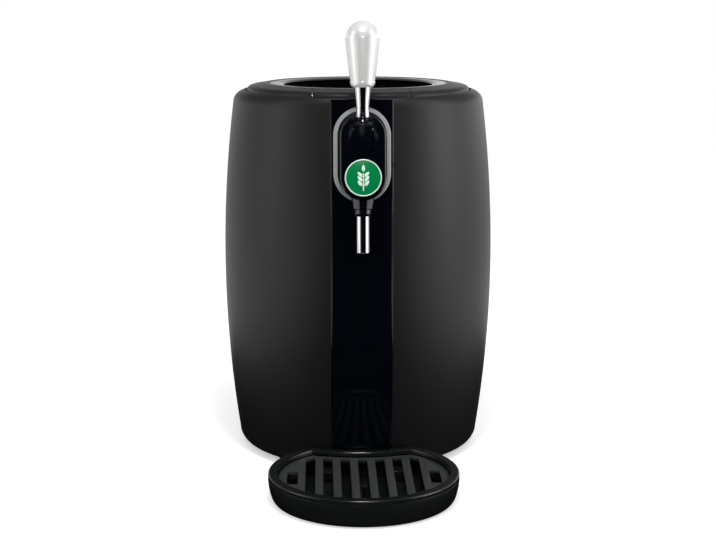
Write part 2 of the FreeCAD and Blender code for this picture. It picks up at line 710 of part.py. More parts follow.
def swept_tube(radius):
    start, bend_from, middle, bend_to, end = tube_path()
    run = Part.LineSegment(start, bend_from).toShape()
    bend = Part.Arc(bend_from, middle, bend_to).toShape()
    drop = Part.LineSegment(bend_to, end).toShape()
    section = Part.Wire([Part.makeCircle(radius, start, Y_AXIS)])
    return Part.Wire([run, bend, drop]).makePipeShell([section], True, False)


def tongue_shape(half, low, front, back, high):
    """A plate with a round lower end."""
    round_end = rod(half, (0, front, low + half), Y_AXIS, back - front)
    return joined([round_end, slab(half, front, back, low + half, high)])


def tap_body():
    pod = stadium(POD_HALF, POD_LOW, POD_HIGH, POD_FRONT, POD_BACK)
    pod = pod.makeFillet(1.4, [edge for edge in pod.Edges
                               if edge.BoundBox.YMax < POD_FRONT + 0.01])
    pod = pod.cut(slab(POCKET_HALF, POD_FRONT - 1.0, POCKET_BACK, POCKET_LOW, POD_HIGH + 1.0))
    pod = pod.cut(slab(SLIDER_HALF + SLACK, SLIDER_FRONT - SLACK, SLIDER_BACK + SLACK,
                       TUBE_RUN_Z, CHANNEL_TOP))
    pod = pod.cut(slab(FINGER_HALF + SLACK, POCKET_BACK - 1.0, SLIDER_FRONT, FINGER_LOW - 3.0,
                       FINGER_HIGH + 8.0))
    pod = pod.cut(swept_tube(BEER_TUBE_RADIUS + SEAT))
    pod = pod.cut(rod(PIN_RADIUS, (-PIN_HALF, PIVOT_Y, PIVOT_Z), X_AXIS, 2.0 * PIN_HALF))
    for x, z in plate_screw_places():
        pod = pod.cut(rod(1.5, (x, POD_BACK - 10.0, z), Y_AXIS, 11.0))
    return tap_place(pod)


def tap_face():
    front = POD_FRONT - FACE_THICK
    plate = stadium(POD_HALF - FACE_INSET, POD_LOW + FACE_INSET, POD_HIGH - FACE_INSET, front,
                    POD_FRONT)
    slot = tongue_shape(TONGUE_HALF + SLACK, TONGUE_LOW - 1.7, front - 1.0, POD_FRONT + 1.0,
                        POD_HIGH + 5.0)
    return tap_place(plate.cut(slot))


def badge_disc():
    front = POD_FRONT - FACE_THICK
    return tap_place(rod(BADGE_RADIUS - BADGE_RING, (0, front, BADGE_Z), -Y_AXIS, BADGE_THICK))


def badge_ring():
    front = POD_FRONT - FACE_THICK
    ring = pipe(BADGE_RADIUS, BADGE_RADIUS - BADGE_RING, (0, front, BADGE_Z), -Y_AXIS,
                BADGE_THICK + 0.6)
    return tap_place(ring)


def plate_screw_places():
    return [(side * 14.0, z) for z in (-17.0, 27.0) for side in (-1, 1)]


def plate_form(y0, y1, spread=0.0):
    return stadium(PLATE_HALF + spread, POD_LOW - 4.0 - spread, POD_HIGH - 4.0 + spread, y0, y1)


def tap_backplate():
    plate = plate_form(POD_BACK, PLATE_BACK)
    plate = plate.cut(swept_tube(BEER_TUBE_RADIUS + SEAT))
    for x, z in plate_screw_places():
        plate = plate.cut(rod(1.5, (x, POD_BACK - 1.0, z), Y_AXIS, 5.0))
    return tap_place(plate)


def tap_screws():
    screws = []
    for x, z in plate_screw_places():
        shank = rod(1.5, (x, POD_BACK - 9.0, z), Y_AXIS, PLATE_BACK - POD_BACK + 9.0)
        head = rod(3.0, (x, PLATE_BACK, z), Y_AXIS, SCREW_HEAD)
        screws.append(joined([shank, head]))
    return tap_place(Part.makeCompound(screws))


def spout_cone():
    wide, narrow, top = SPOUT_RADIUS + 4.8, SPOUT_RADIUS + 3.0, POD_LOW + 12.0
    cone = revolved([(0, CONE_LOW), (narrow, CONE_LOW), (wide, CONE_LOW + 11.0), (wide, top),
                     (0, top)], 0.0, SPOUT_Y)
    cone = cone.cut(stadium(POD_HALF, POD_LOW, POD_HIGH, POD_FRONT - 5.0, POD_BACK))
    return tap_place(cone.cut(swept_tube(BEER_TUBE_RADIUS + SEAT)))


def spout_ring():
    wide = SPOUT_RADIUS + 1.6
    ring = revolved([(0, RING_LOW), (SPOUT_RADIUS + 0.5, RING_LOW), (wide, RING_LOW + 2.5),
                     (wide, CONE_LOW - 0.8), (SPOUT_RADIUS + 0.9, CONE_LOW), (0, CONE_LOW)],
                    0.0, SPOUT_Y)
    return tap_place(ring.cut(swept_tube(BEER_TUBE_RADIUS + SEAT)))


def spout_tube():
    bore, lip = SPOUT_RADIUS - SPOUT_WALL, SPOUT_WALL / 2.0
    spout = revolved([(bore, RING_LOW), (SPOUT_RADIUS, RING_LOW), (SPOUT_RADIUS, SPOUT_LOW + lip),
                      (SPOUT_RADIUS - lip, SPOUT_LOW), (bore, SPOUT_LOW)], 0.0, SPOUT_Y)
    return tap_place(spout)


def beer_tube():
    bore = swept_tube(BEER_TUBE_RADIUS - BEER_TUBE_WALL)
    return tap_place(swept_tube(BEER_TUBE_RADIUS).cut(bore))


def inlet_form(spread=0.0):
    barb_from = INLET_TO - BARB_LENGTH
    stub = rod(INLET_RADIUS + spread, (0, PLATE_BACK, TUBE_RUN_Z), Y_AXIS, barb_from - PLATE_BACK)
    barb = Part.makeCone(INLET_RADIUS + spread, INLET_RADIUS + spread - 1.5, BARB_LENGTH,
                         Vector(0, barb_from, TUBE_RUN_Z), Y_AXIS)
    return joined([stub, barb])


def inlet_fitting():
    """The barbed stub in the well's side that the keg's line pushes on to."""
    fitting = inlet_form()
    fitting = fitting.cut(rod(BEER_TUBE_RADIUS + SEAT, (0, PLATE_BACK - 1.0, TUBE_RUN_Z), Y_AXIS,
                              INLET_FROM + 3.0 - PLATE_BACK))
    bore = rod(BEER_TUBE_RADIUS - BEER_TUBE_WALL, (0, PLATE_BACK, TUBE_RUN_Z), Y_AXIS, INLET_TO)
    return tap_place(fitting.cut(bore))


def lever_rocker():
    """The tongue, hub and lifting finger that the lever's stem stands on."""
    front = POD_FRONT - FACE_THICK
    tongue = tongue_shape(TONGUE_HALF, TONGUE_LOW, front, front + TONGUE_THICK, ROCKER_TOP)
    hub = rod(HUB_RADIUS, (-TONGUE_HALF, PIVOT_Y, PIVOT_Z), X_AXIS, 2.0 * TONGUE_HALF)
    head = slab(TONGUE_HALF, front, POCKET_BACK - SLACK - 0.6, PIVOT_Z, ROCKER_TOP)
    web = slab(TONGUE_HALF - 3.0, front, PIVOT_Y, PIVOT_Z - HUB_RADIUS, PIVOT_Z)
    finger = slab(FINGER_HALF, PIVOT_Y, FINGER_END, FINGER_LOW, FINGER_HIGH)
    rocker = joined([tongue, hub, head, web, finger])
    rocker = rocker.cut(rod(3.0 + SEAT, (0, STEM_AXIS_Y, ROCKER_TOP - 4.0 - SEAT), Z_AXIS, 10.0))
    return tap_place(rocker.cut(rod(PIN_RADIUS + RUNNING, (-POD_HALF, PIVOT_Y, PIVOT_Z), X_AXIS,
                                    2.0 * POD_HALF)))


def lever_pin():
    return tap_place(rod(PIN_RADIUS, (-PIN_HALF, PIVOT_Y, PIVOT_Z), X_AXIS, 2.0 * PIN_HALF))


def lever_stem():
    low = ROCKER_TOP
    profile = [(0, low - 4.0), (3.0, low - 4.0), (3.0, low), (8.4, low), (8.4, low + 0.8),
               (7.2, low + 2.2), (6.3, low + 4.2), (5.85, low + 7.0), (5.75, low + 10.0),
               (6.3, low + 17.0), (7.1, low + 25.0), (7.75, HANDLE_LOW), (4.0, HANDLE_LOW),
               (4.0, HANDLE_LOW + 15.0), (0, HANDLE_LOW + 15.0)]
    return tap_place(revolved(profile, 0.0, STEM_AXIS_Y))


def lever_handle():
    """A drop-shaped grip: narrow round foot, straight flare, round head."""
    head_z = LEVER_TOP - HANDLE_RADIUS
    foot = Part.LineSegment(Vector(0, 0, HANDLE_LOW), Vector(8.0, 0, HANDLE_LOW))
    corner = Part.Arc(Vector(8.0, 0, HANDLE_LOW), Vector(10.2, 0, HANDLE_LOW + 1.6),
                      Vector(11.2, 0, HANDLE_LOW + 5.5))
    flare = Part.Arc(Vector(11.2, 0, HANDLE_LOW + 5.5), Vector(13.9, 0, HANDLE_LOW + 27.0),
                     Vector(HANDLE_RADIUS, 0, head_z))
    lean = math.sin(math.radians(45.0))
    dome = Part.Arc(Vector(HANDLE_RADIUS, 0, head_z),
                    Vector(HANDLE_RADIUS * lean, 0, head_z + HANDLE_RADIUS * lean),
                    Vector(0, 0, LEVER_TOP))
    axis = Part.LineSegment(Vector(0, 0, LEVER_TOP), Vector(0, 0, HANDLE_LOW))
    wire = Part.Wire([part.toShape() for part in (foot, corner, flare, dome, axis)])
    grip = Part.Face(wire).revolve(Vector(0, 0, 0), Z_AXIS, 360)
    grip.translate(Vector(0, STEM_AXIS_Y, 0))
    bore = rod(4.0 + SEAT, (0, STEM_AXIS_Y, HANDLE_LOW - 1.0), Z_AXIS, 16.0 + SEAT)
    return tap_place(grip.cut(bore))


def pinch_slider():
    """Presses the beer tube shut, and is lifted by the rocker's finger."""
    low = TUBE_RUN_Z + BEER_TUBE_RADIUS + 0.3
    slider = slab(SLIDER_HALF, SLIDER_FRONT, SLIDER_BACK, low, SLIDER_TOP)
    window = slab(FINGER_HALF + SLACK, SLIDER_FRONT - 1.0, FINGER_END + 1.0,
                  FINGER_LOW - WINDOW_PLAY, FINGER_HIGH + WINDOW_PLAY)
    return tap_place(slider.cut(window))


def slider_spring():
    """Pushes the slider down on to the tube; its coils nest when it is pressed flat."""
    centre_y = (SLIDER_FRONT + SLIDER_BACK) / 2.0
    height = CHANNEL_TOP - SLIDER_TOP - 2.0 * COIL_WIRE
    slant = math.degrees(math.atan2(COIL_LARGE - COIL_SMALL, height))
    helix = Part.makeHelix(height / COIL_TURNS, height, COIL_SMALL, slant)
    section = Part.Wire([Part.makeCircle(COIL_WIRE, Vector(COIL_SMALL, 0, 0), Y_AXIS)])
    coil = Part.Wire(helix.Edges).makePipeShell([section], True, True)
    coil.translate(Vector(0, centre_y, SLIDER_TOP + COIL_WIRE))
    return tap_place(coil)


# ---------------------------------------------------------------- drip tray
LEDGE_WIDTH = 4.0
LEDGE_THICK = 3.5
FLOAT_Y = TRAY_CENTRE_Y - 24.0
FLOAT_STALK = 1.6           # radii of the peg, its foot and its cap
FLOAT_FOOT = 5.0
FLOAT_CAP = 3.0
FLOAT_FOOT_THICK = 2.0


def tray_axes(offset=0.0):
    return TRAY_HALF + offset, TRAY_FRONT + offset, TRAY_REAR + offset


def tray_prism(offset, z0, z1):
    prism = oval_prism(*tray_axes(offset), z0, z1, TRAY_CENTRE_Y)
    return prism.cut(barrel(0.0, TRAY_HEIGHT + 10.0, TRAY_GAP - offset))


def tray_bowl():
    """The bowl curves in below the rim, with a ledge inside for the grille."""
    top = TRAY_HEIGHT - RIM_THICK
    outer = rounded_loft(tray_axes(), top, tray_axes(-TRAY_ROUND), 0.0, TRAY_CENTRE_Y)
    inner = rounded_loft(tray_axes(-TRAY_WALL), top, tray_axes(-TRAY_ROUND - TRAY_WALL),
                         TRAY_WALL, TRAY_CENTRE_Y)
    outer = outer.cut(barrel(-1.0, TRAY_HEIGHT + 10.0, TRAY_GAP))
    inner = inner.cut(barrel(-1.0, TRAY_HEIGHT + 10.0, TRAY_GAP + TRAY_WALL))
    ledge_top = GRILLE_TOP - GRILLE_THICK
    ledge = tray_prism(-TRAY_WALL / 2.0, ledge_top - LEDGE_THICK, ledge_top).cut(
        tray_prism(-RIM_WIDTH - LEDGE_WIDTH, ledge_top - LEDGE_THICK - 1.0, ledge_top + 1.0))
    dock_walls = [dock.common(outer) for dock in tray_docks(TRAY_WALL)]
    bowl = joined([outer.cut(inner), ledge.common(outer)] + dock_walls)
    for dock in tray_docks():
        bowl = bowl.cut(dock)
    return bowl


def tray_docks(wall=0.0):
    """Blind sockets in the tray's rear wall that ride on the base's rails."""
    front_y = -barrel_axes(SEAM_Z)[1]
    half = RAIL_HALF + SLACK + wall
    return [block(side * RAIL_X - half, side * RAIL_X + half,
                  front_y - RAIL_REACH - 1.0 - wall, front_y + 20.0,
                  RAIL_LOW - SLACK - wall, RAIL_HIGH + SLACK + wall)
            for side in (-1, 1)]


def tray_rim():
    ring = tray_prism(0.0, TRAY_HEIGHT - RIM_THICK, TRAY_HEIGHT).cut(
        tray_prism(-RIM_WIDTH, TRAY_HEIGHT - RIM_THICK - 1.0, TRAY_HEIGHT + 1.0))
    edges = [edge for edge in ring.Edges if edge.BoundBox.ZMin > TRAY_HEIGHT - 0.01]
    return ring.makeFillet(1.5, edges)


def drip_grille():
    low = GRILLE_TOP - GRILLE_THICK
    plate = tray_prism(-RIM_WIDTH - 0.7, low, GRILLE_TOP)
    well = tray_prism(-RIM_WIDTH - 6.0, low - 1.0, GRILLE_TOP + 1.0)
    half_count = LONG_SLOTS // 2
    for index in range(-half_count, half_count + 1):
        x = index * SLOT_PITCH
        slot = block(x - SLOT_WIDTH / 2.0, x + SLOT_WIDTH / 2.0, TRAY_CENTRE_Y - TRAY_FRONT,
                     -BARREL_FRONT, low - 1.0, GRILLE_TOP + 1.0)
        plate = plate.cut(slot.common(well))
    half = SHORT_SLOT_WIDTH / 2.0
    for side in (-1, 1):
        x = side * SHORT_SLOT_X
        plate = plate.cut(block(x - half, x + half, TRAY_CENTRE_Y - SHORT_SLOT_FRONT,
                                TRAY_CENTRE_Y + SHORT_SLOT_REAR, low - 1.0, GRILLE_TOP + 1.0))
    return plate


def float_pin():
    """A peg on the bowl's floor, whose cap stands in the grille's middle slot."""
    cap_z = GRILLE_TOP - GRILLE_THICK
    stalk = rod(FLOAT_STALK, (0, FLOAT_Y, TRAY_WALL), Z_AXIS, cap_z - TRAY_WALL)
    foot = rod(FLOAT_FOOT, (0, FLOAT_Y, TRAY_WALL), Z_AXIS, FLOAT_FOOT_THICK)
    cap = rod(FLOAT_CAP, (0, FLOAT_Y, cap_z), Z_AXIS, GRILLE_THICK - 0.5)
    return joined([stalk, foot, cap])


# ---------------------------------------------------------------- rear housing and cooler
HOUSING_FROM = 60.0
COLD_DEEP = BARREL_REAR - 28.0
PELTIER_HALF = 20.0
PELTIER_THICK = 4.0
SINK_BASE = 5.0
SINK_FIN_DEEP = 36.0
SINK_FINS = 15
SINK_FIN_THICK = 1.6
SINK_HALF = 50.0
BRACKET_HALF = SINK_HALF - 8.0
BRACKET_WALL = 2.0
BRACKET_TAB = 16.0          # how far its tab runs along the shell
FAN_FROM = COLD_DEEP + PELTIER_THICK + SINK_BASE + SINK_FIN_DEEP
FAN_BORE = FAN_SIZE / 2.0 - 2.0
HUB_FAN = 18.0
FAN_BLADES = 7
SPINDLE_RADIUS = 2.0
VENT_FROM = BARREL_REAR + 6.0
VENT_TO = VENT_FROM + 20.0
SIDE_VENTS = 9
VENT_PITCH = 9.0
VENT_TALL = 4.0
LOUVRES = 11
LOUVRE_FRAME = 7.0          # width of the panel's border
LOUVRE_RIB = 1.5            # half width of its middle rib
LOUVRE_SHARE = 0.27         # half of each slot's share of the pitch


def housing_outline(z, inset):
    """A plan outline with straight sides and round rear corners."""
    half = HOUSING_HALF - inset
    rear = HOUSING_REAR - inset
    corner = HOUSING_CORNER - min(inset, HOUSING_CORNER / 2.0)
    lean = corner * (1.0 - math.sin(math.radians(45.0)))
    turn = rear - corner
    points = {name: Vector(x, y, z) for name, x, y in (
        ("right_front", half, HOUSING_FROM), ("right_turn", half, turn),
        ("right_middle", half - lean, rear - lean), ("right_rear", half - corner, rear),
        ("left_rear", corner - half, rear), ("left_middle", lean - half, rear - lean),
        ("left_turn", -half, turn), ("left_front", -half, HOUSING_FROM))}
    edges = [
        Part.LineSegment(points["right_front"], points["right_turn"]),
        Part.Arc(points["right_turn"], points["right_middle"], points["right_rear"]),
        Part.LineSegment(points["right_rear"], points["left_rear"]),
        Part.Arc(points["left_rear"], points["left_middle"], points["left_turn"]),
        Part.LineSegment(points["left_turn"], points["left_front"]),
        Part.LineSegment(points["left_front"], points["right_front"])]
    return Part.Wire([edge.toShape() for edge in edges])


def housing_form(wall):
    """The housing's outer form, or its hollow when wall is more than nothing."""
    low = HOUSING_LOW + wall
    turn_z = HOUSING_TOP - HOUSING_ROUND
    sides = []
    for step in range(LOFT_STEPS):
        z = low + (turn_z - low) * step / (LOFT_STEPS - 1)
        sides.append(housing_outline(z, belly_drop(z) + wall))
    top = []
    for angle in ROUND_ANGLES:
        turn = math.radians(angle)
        z = turn_z + (HOUSING_ROUND - wall) * math.sin(turn)
        drawn = HOUSING_ROUND * (1.0 - math.cos(turn))
        top.append(housing_outline(z, belly_drop(turn_z) + wall + drawn))
    return joined([loft(sides), loft(top)])


def housing_face(z):
    """How far back the housing's rear face lies at height z."""
    return HOUSING_REAR - belly_drop(z)


def rear_housing():
    housing = housing_form(0.0).cut(housing_form(HOUSING_WALL))
    housing = housing.cut(barrel(0.0, SHOULDER_Z, SEAT))
    housing = housing.cut(grille_bay(0.0))
    first = FAN_Z - VENT_PITCH * (SIDE_VENTS - 1) / 2.0
    for index in range(SIDE_VENTS):
        z = first + index * VENT_PITCH
        housing = housing.cut(slab(HOUSING_HALF + 5.0, VENT_FROM, VENT_TO, z - VENT_TALL / 2.0,
                                   z + VENT_TALL / 2.0))
    for x, y in foot_places()[2:]:
        housing = housing.cut(rod(FOOT_RADIUS + SEAT, (x, y, HOUSING_LOW - 1.0), Z_AXIS,
                                  FOOT_SINK / 2.0 + 1.0))
    housing = housing.cut(inlet_opening(SEAT))
    return housing.cut(switch_opening(SEAT))


def grille_bay(inset):
    half = GRILLE_OPENING / 2.0 - inset
    return slab(half, HOUSING_REAR - 20.0, HOUSING_REAR + 5.0, FAN_Z - half, FAN_Z + half)


def rear_grille():
    """A framed louvre panel in the housing's back."""
    wall = housing_form(0.0).cut(housing_form(HOUSING_WALL))
    panel = wall.common(grille_bay(SEAT))
    inner = GRILLE_OPENING / 2.0 - LOUVRE_FRAME
    pitch = 2.0 * inner / LOUVRES
    for index in range(LOUVRES):
        z = FAN_Z - inner + pitch * (index + 0.5)
        for side in (-1, 1):
            low, high = sorted((side * LOUVRE_RIB, side * inner))
            panel = panel.cut(block(low, high, HOUSING_REAR - 20.0, HOUSING_REAR + 5.0,
                                    z - pitch * LOUVRE_SHARE, z + pitch * LOUVRE_SHARE))
    return panel


def cold_block():
    half = COLD_HALF
    solid = slab(half, CUP_RADIUS / 2.0, COLD_DEEP, FAN_Z - half, FAN_Z + half)
    return solid.cut(rod(CUP_RADIUS + CUP_WALL, (0, 0, FAN_Z - half - 1.0), Z_AXIS,
                         2.0 * half + 2.0))


def cooling_module():
    return slab(PELTIER_HALF, COLD_DEEP, COLD_DEEP + PELTIER_THICK, FAN_Z - PELTIER_HALF,
                FAN_Z + PELTIER_HALF)


def heat_sink():
    base_y = COLD_DEEP + PELTIER_THICK
    base = slab(SINK_HALF, base_y, base_y + SINK_BASE, FAN_Z - SINK_HALF, FAN_Z + SINK_HALF)
    pitch = (2.0 * SINK_HALF - SINK_FIN_THICK) / (SINK_FINS - 1)
    fins = []
    for index in range(SINK_FINS):
        x = -SINK_HALF + index * pitch
        fins.append(block(x, x + SINK_FIN_THICK, base_y + SINK_BASE - 0.5,
                          base_y + SINK_BASE + SINK_FIN_DEEP, FAN_Z - SINK_HALF,
                          FAN_Z + SINK_HALF))
    return joined([base] + fins)


def sink_brackets():
    """Two angle brackets that hold the heat sink against the shell, above and below its window."""
    brackets = []
    base_y = COLD_DEEP + PELTIER_THICK
    against_shell = -SHELL_WALL - SEAT
    for side in (-1, 1):
        edge_z = FAN_Z + side * SINK_HALF
        low, high = sorted((edge_z, edge_z + side * BRACKET_WALL))
        flat = slab(BRACKET_HALF, base_y, FAN_FROM, low, high)
        low, high = sorted((edge_z, edge_z + side * (BRACKET_WALL + BRACKET_TAB)))
        skin = barrel(low, high, against_shell).cut(
            barrel(low, high, against_shell - BRACKET_WALL))
        tab = skin.common(slab(BRACKET_HALF, base_y - SINK_HALF, BARREL_REAR, low, high))
        brackets.append(joined([flat, tab]))
    return Part.makeCompound(brackets)


def fan_frame():
    half = FAN_SIZE / 2.0
    end = FAN_FROM + FAN_DEPTH
    frame = slab(half, FAN_FROM, end, FAN_Z - half, FAN_Z + half)
    frame = frame.cut(rod(FAN_BORE, (0, FAN_FROM - 1.0, FAN_Z), Y_AXIS, FAN_DEPTH + 2.0))
    cup = rod(HUB_FAN, (0, end - 4.0, FAN_Z), Y_AXIS, 4.0)
    struts = [slab(FAN_BORE + 1.0, end - 4.0, end, FAN_Z - 1.5, FAN_Z + 1.5),
              block(-1.5, 1.5, end - 4.0, end, FAN_Z - FAN_BORE - 1.0, FAN_Z + FAN_BORE + 1.0)]
    spindle = rod(SPINDLE_RADIUS, (0, FAN_FROM + 6.0, FAN_Z), Y_AXIS, FAN_DEPTH - 8.0)
    return joined([frame, cup] + struts + [spindle])


def fan_rotor():
    start = FAN_FROM + 3.0
    length = FAN_DEPTH - 4.0 - 3.0 - 1.0
    hub = rod(HUB_FAN, (0, start, FAN_Z), Y_AXIS, length)
    ring = pipe(FAN_BORE - 2.0, HUB_FAN - 1.0, (0, start, FAN_Z), Y_AXIS, length)
    pieces = [hub]
    for index in range(FAN_BLADES):
        blade = block(HUB_FAN - 2.0, FAN_BORE, start - 6.0, start + length + 6.0, -0.8, 0.8)
        blade.rotate(Vector(0, start + length / 2.0, 0), X_AXIS, 38.0)
        blade.rotate(Vector(0, 0, 0), Y_AXIS, 360.0 * index / FAN_BLADES)
        blade.translate(Vector(0, 0, FAN_Z))
        pieces.append(blade.common(ring))
    rotor = joined(pieces)
    return rotor.cut(rod(SPINDLE_RADIUS + RUNNING, (0, start + 2.0, FAN_Z), Y_AXIS, length))


BOARD_Z = 262.0
BOARD_Y = BARREL_REAR + 14.0
BOARD_HALF = 48.0
BOARD_TALL = 50.0
BOARD_THICK = 1.6
POST_INSET = 5.0
SUPPLY_LOW = HOUSING_LOW + HOUSING_WALL
SUPPLY_HALF = 55.0
SUPPLY_FRONT = BARREL_REAR + 2.0
SUPPLY_REAR = SUPPLY_FRONT + 44.0
SUPPLY_TALL = 42.0


def control_board():
    """The circuit board above the fan, with its larger components."""
    board = slab(BOARD_HALF, BOARD_Y, BOARD_Y + BOARD_THICK, BOARD_Z, BOARD_Z + BOARD_TALL)
    middle = BOARD_Z + BOARD_TALL / 2.0
    cans = [rod(radius, (x, BOARD_Y + 1.0, middle + rise), Y_AXIS, tall)
            for x, rise, radius, tall in ((-30.0, -7.0, 6.0, 16.0), (-12.0, 9.0, 5.0, 12.0))]
    chip = block(4.0, 24.0, BOARD_Y + 1.0, BOARD_Y + 6.0, middle - 10.0, middle + 10.0)
    relay = block(30.0, 41.0, BOARD_Y + 1.0, BOARD_Y + 14.0, middle - 14.0, middle + 14.0)
    return joined([board, chip, relay] + cans)


def board_posts():
    """Pillars on the housing's back wall that carry the board."""
    start = BOARD_Y + BOARD_THICK
    posts = []
    for side in (-1, 1):
        for z in (BOARD_Z + POST_INSET, BOARD_Z + BOARD_TALL - POST_INSET):
            posts.append(rod(3.0, (side * (BOARD_HALF - POST_INSET), start, z), Y_AXIS,
                             HOUSING_REAR - start))
    return Part.makeCompound(posts).common(housing_form(HOUSING_WALL))


def power_supply():
    case = slab(SUPPLY_HALF, SUPPLY_FRONT, SUPPLY_REAR, SUPPLY_LOW, SUPPLY_LOW + SUPPLY_TALL)
    return case.makeFillet(2.0, case.Edges)


def probe_bay(spread=0.0):
    """The bead that reads the cup's temperature, clipped against the cup's wall."""
    reach = CUP_RADIUS + CUP_WALL + PROBE_RADIUS
    y = math.sqrt(reach ** 2 - PROBE_X ** 2)
    return rod(PROBE_RADIUS + spread, (PROBE_X, y, PROBE_Z - spread), Z_AXIS,
               PROBE_LENGTH + 2.0 * spread)


def temperature_probe():
    return probe_bay().cut(rod(CUP_RADIUS + CUP_WALL, (0, 0, CUP_FLOOR_Z), Z_AXIS, CUP_TOP))


SOCKET_Z = 80.0
SOCKET_X = 36.0
SWITCH_X = -36.0
SOCKET_HALF = 12.0
SOCKET_TALL = 9.0
SOCKET_DEEP = 18.0
SOCKET_FLOOR = 3.0
SOCKET_PROUD = 1.4
SWITCH_HALF = 7.5
SWITCH_TALL = 11.0
MOUTH_HALF = 9.0
MOUTH_TALL = 5.5
PRONG_RADIUS = 1.2
PRONG_PITCH = 8.6
PRONG_LENGTH = 11.0
ROCKER_DEEP = 6.0           # rocker axle behind the frame's face
ROCKER_HALF = 5.5
ROCKER_TALL = 8.6
ROCKER_ANGLE = 9.0
ROCKER_DIP = 40.0           # radius of the hollow in the key's face
AXLE_RADIUS = 1.0


def socket_face():
    return housing_face(SOCKET_Z) + SOCKET_PROUD


def fitting_block(x, half, tall, spread=0.0):
    """The body of a fitting that sits in the housing's rear wall."""
    return block(x - half - spread, x + half + spread, socket_face() - SOCKET_DEEP,
                 socket_face() + 5.0 * spread, SOCKET_Z - tall - spread, SOCKET_Z + tall + spread)


def inlet_opening(spread):
    return fitting_block(SOCKET_X, SOCKET_HALF, SOCKET_TALL, spread)


def switch_opening(spread):
    return fitting_block(SWITCH_X, SWITCH_HALF, SWITCH_TALL, spread)


def power_inlet():
    """A two-pin appliance inlet."""
    floor_y = socket_face() - SOCKET_DEEP + SOCKET_FLOOR
    mouth = block(SOCKET_X - MOUTH_HALF, SOCKET_X + MOUTH_HALF, floor_y, socket_face() + 1.0,
                  SOCKET_Z - MOUTH_TALL, SOCKET_Z + MOUTH_TALL)
    body = fitting_block(SOCKET_X, SOCKET_HALF, SOCKET_TALL).cut(mouth)
    prongs = [rod(PRONG_RADIUS, (SOCKET_X + side * PRONG_PITCH / 2.0, floor_y - 0.5, SOCKET_Z),
                  Y_AXIS, PRONG_LENGTH) for side in (-1, 1)]
    return joined([body] + prongs)


def switch_frame():
    floor_y = socket_face() - SOCKET_DEEP + SOCKET_FLOOR
    hollow = block(SWITCH_X - ROCKER_HALF - SLACK, SWITCH_X + ROCKER_HALF + SLACK, floor_y,
                   socket_face() + 1.0, SOCKET_Z - ROCKER_TALL - 2.0 * SLACK,
                   SOCKET_Z + ROCKER_TALL + 2.0 * SLACK)
    body = fitting_block(SWITCH_X, SWITCH_HALF, SWITCH_TALL).cut(hollow)
    axle = rod(AXLE_RADIUS, (SWITCH_X - SWITCH_HALF + 0.5, socket_face() - ROCKER_DEEP, SOCKET_Z),
               X_AXIS, 2.0 * SWITCH_HALF - 1.0)
    return joined([body, axle])


def switch_rocker():
    """Rests with one half proud: off. It tips to the other side for on."""
    axis_y = socket_face() - ROCKER_DEEP
    key = block(SWITCH_X - ROCKER_HALF, SWITCH_X + ROCKER_HALF, axis_y - 3.0,
                socket_face() - 1.0, SOCKET_Z - ROCKER_TALL, SOCKET_Z + ROCKER_TALL)
    dip = rod(ROCKER_DIP, (SWITCH_X - ROCKER_HALF - 1.0, socket_face() - 2.0 + ROCKER_DIP,
                           SOCKET_Z), X_AXIS, 2.0 * ROCKER_HALF + 2.0)
    key = key.cut(dip)
    key.rotate(Vector(0, axis_y, SOCKET_Z), X_AXIS, -ROCKER_ANGLE)
    return key.cut(rod(AXLE_RADIUS + RUNNING, (SWITCH_X - SWITCH_HALF, axis_y, SOCKET_Z), X_AXIS,
                       2.0 * SWITCH_HALF))


PIECES = [
    base_pan, rubber_feet, body_shell, front_strip, tap_panel, top_collar, well_liner,
    cooling_cup, foam_jacket, foam_floor, cup_stand, hinge_bracket, hinge_pins,
    lid_shell, lid_dish, lid_cover, lid_plug, lid_gasket, lid_tab, tab_pin,
    tap_body, tap_face, tap_bezel, tap_backplate, tap_screws, badge_disc, badge_ring,
    spout_cone, spout_ring, spout_tube, beer_tube, inlet_fitting,
    lever_rocker, lever_pin, lever_stem, lever_handle, pinch_slider, slider_spring,
    tray_bowl, tray_rim, drip_grille, float_pin,
    rear_housing, rear_grille, cold_block, cooling_module, heat_sink, sink_brackets,
    fan_frame, fan_rotor, control_board, board_posts, power_supply, temperature_probe,
    power_inlet, switch_frame, switch_rocker,
]


def main():
    os.makedirs("parts", exist_ok=True)
    for make in PIECES:
        shape = make()
        volume = sum(solid.Volume for solid in shape.Solids)
        print(make.__name__, len(shape.Solids), "solids", round(volume), "mm3", shape.isValid())
        export_piece(make.__name__, shape)


if __name__ == "__main__":
    main()
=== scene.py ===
"""Finishes, detail pieces and studio for a countertop mini keg dispenser."""
import json
import math

import bpy
from bpy.props import FloatProperty, FloatVectorProperty, PointerProperty
from mathutils import Matrix, Vector


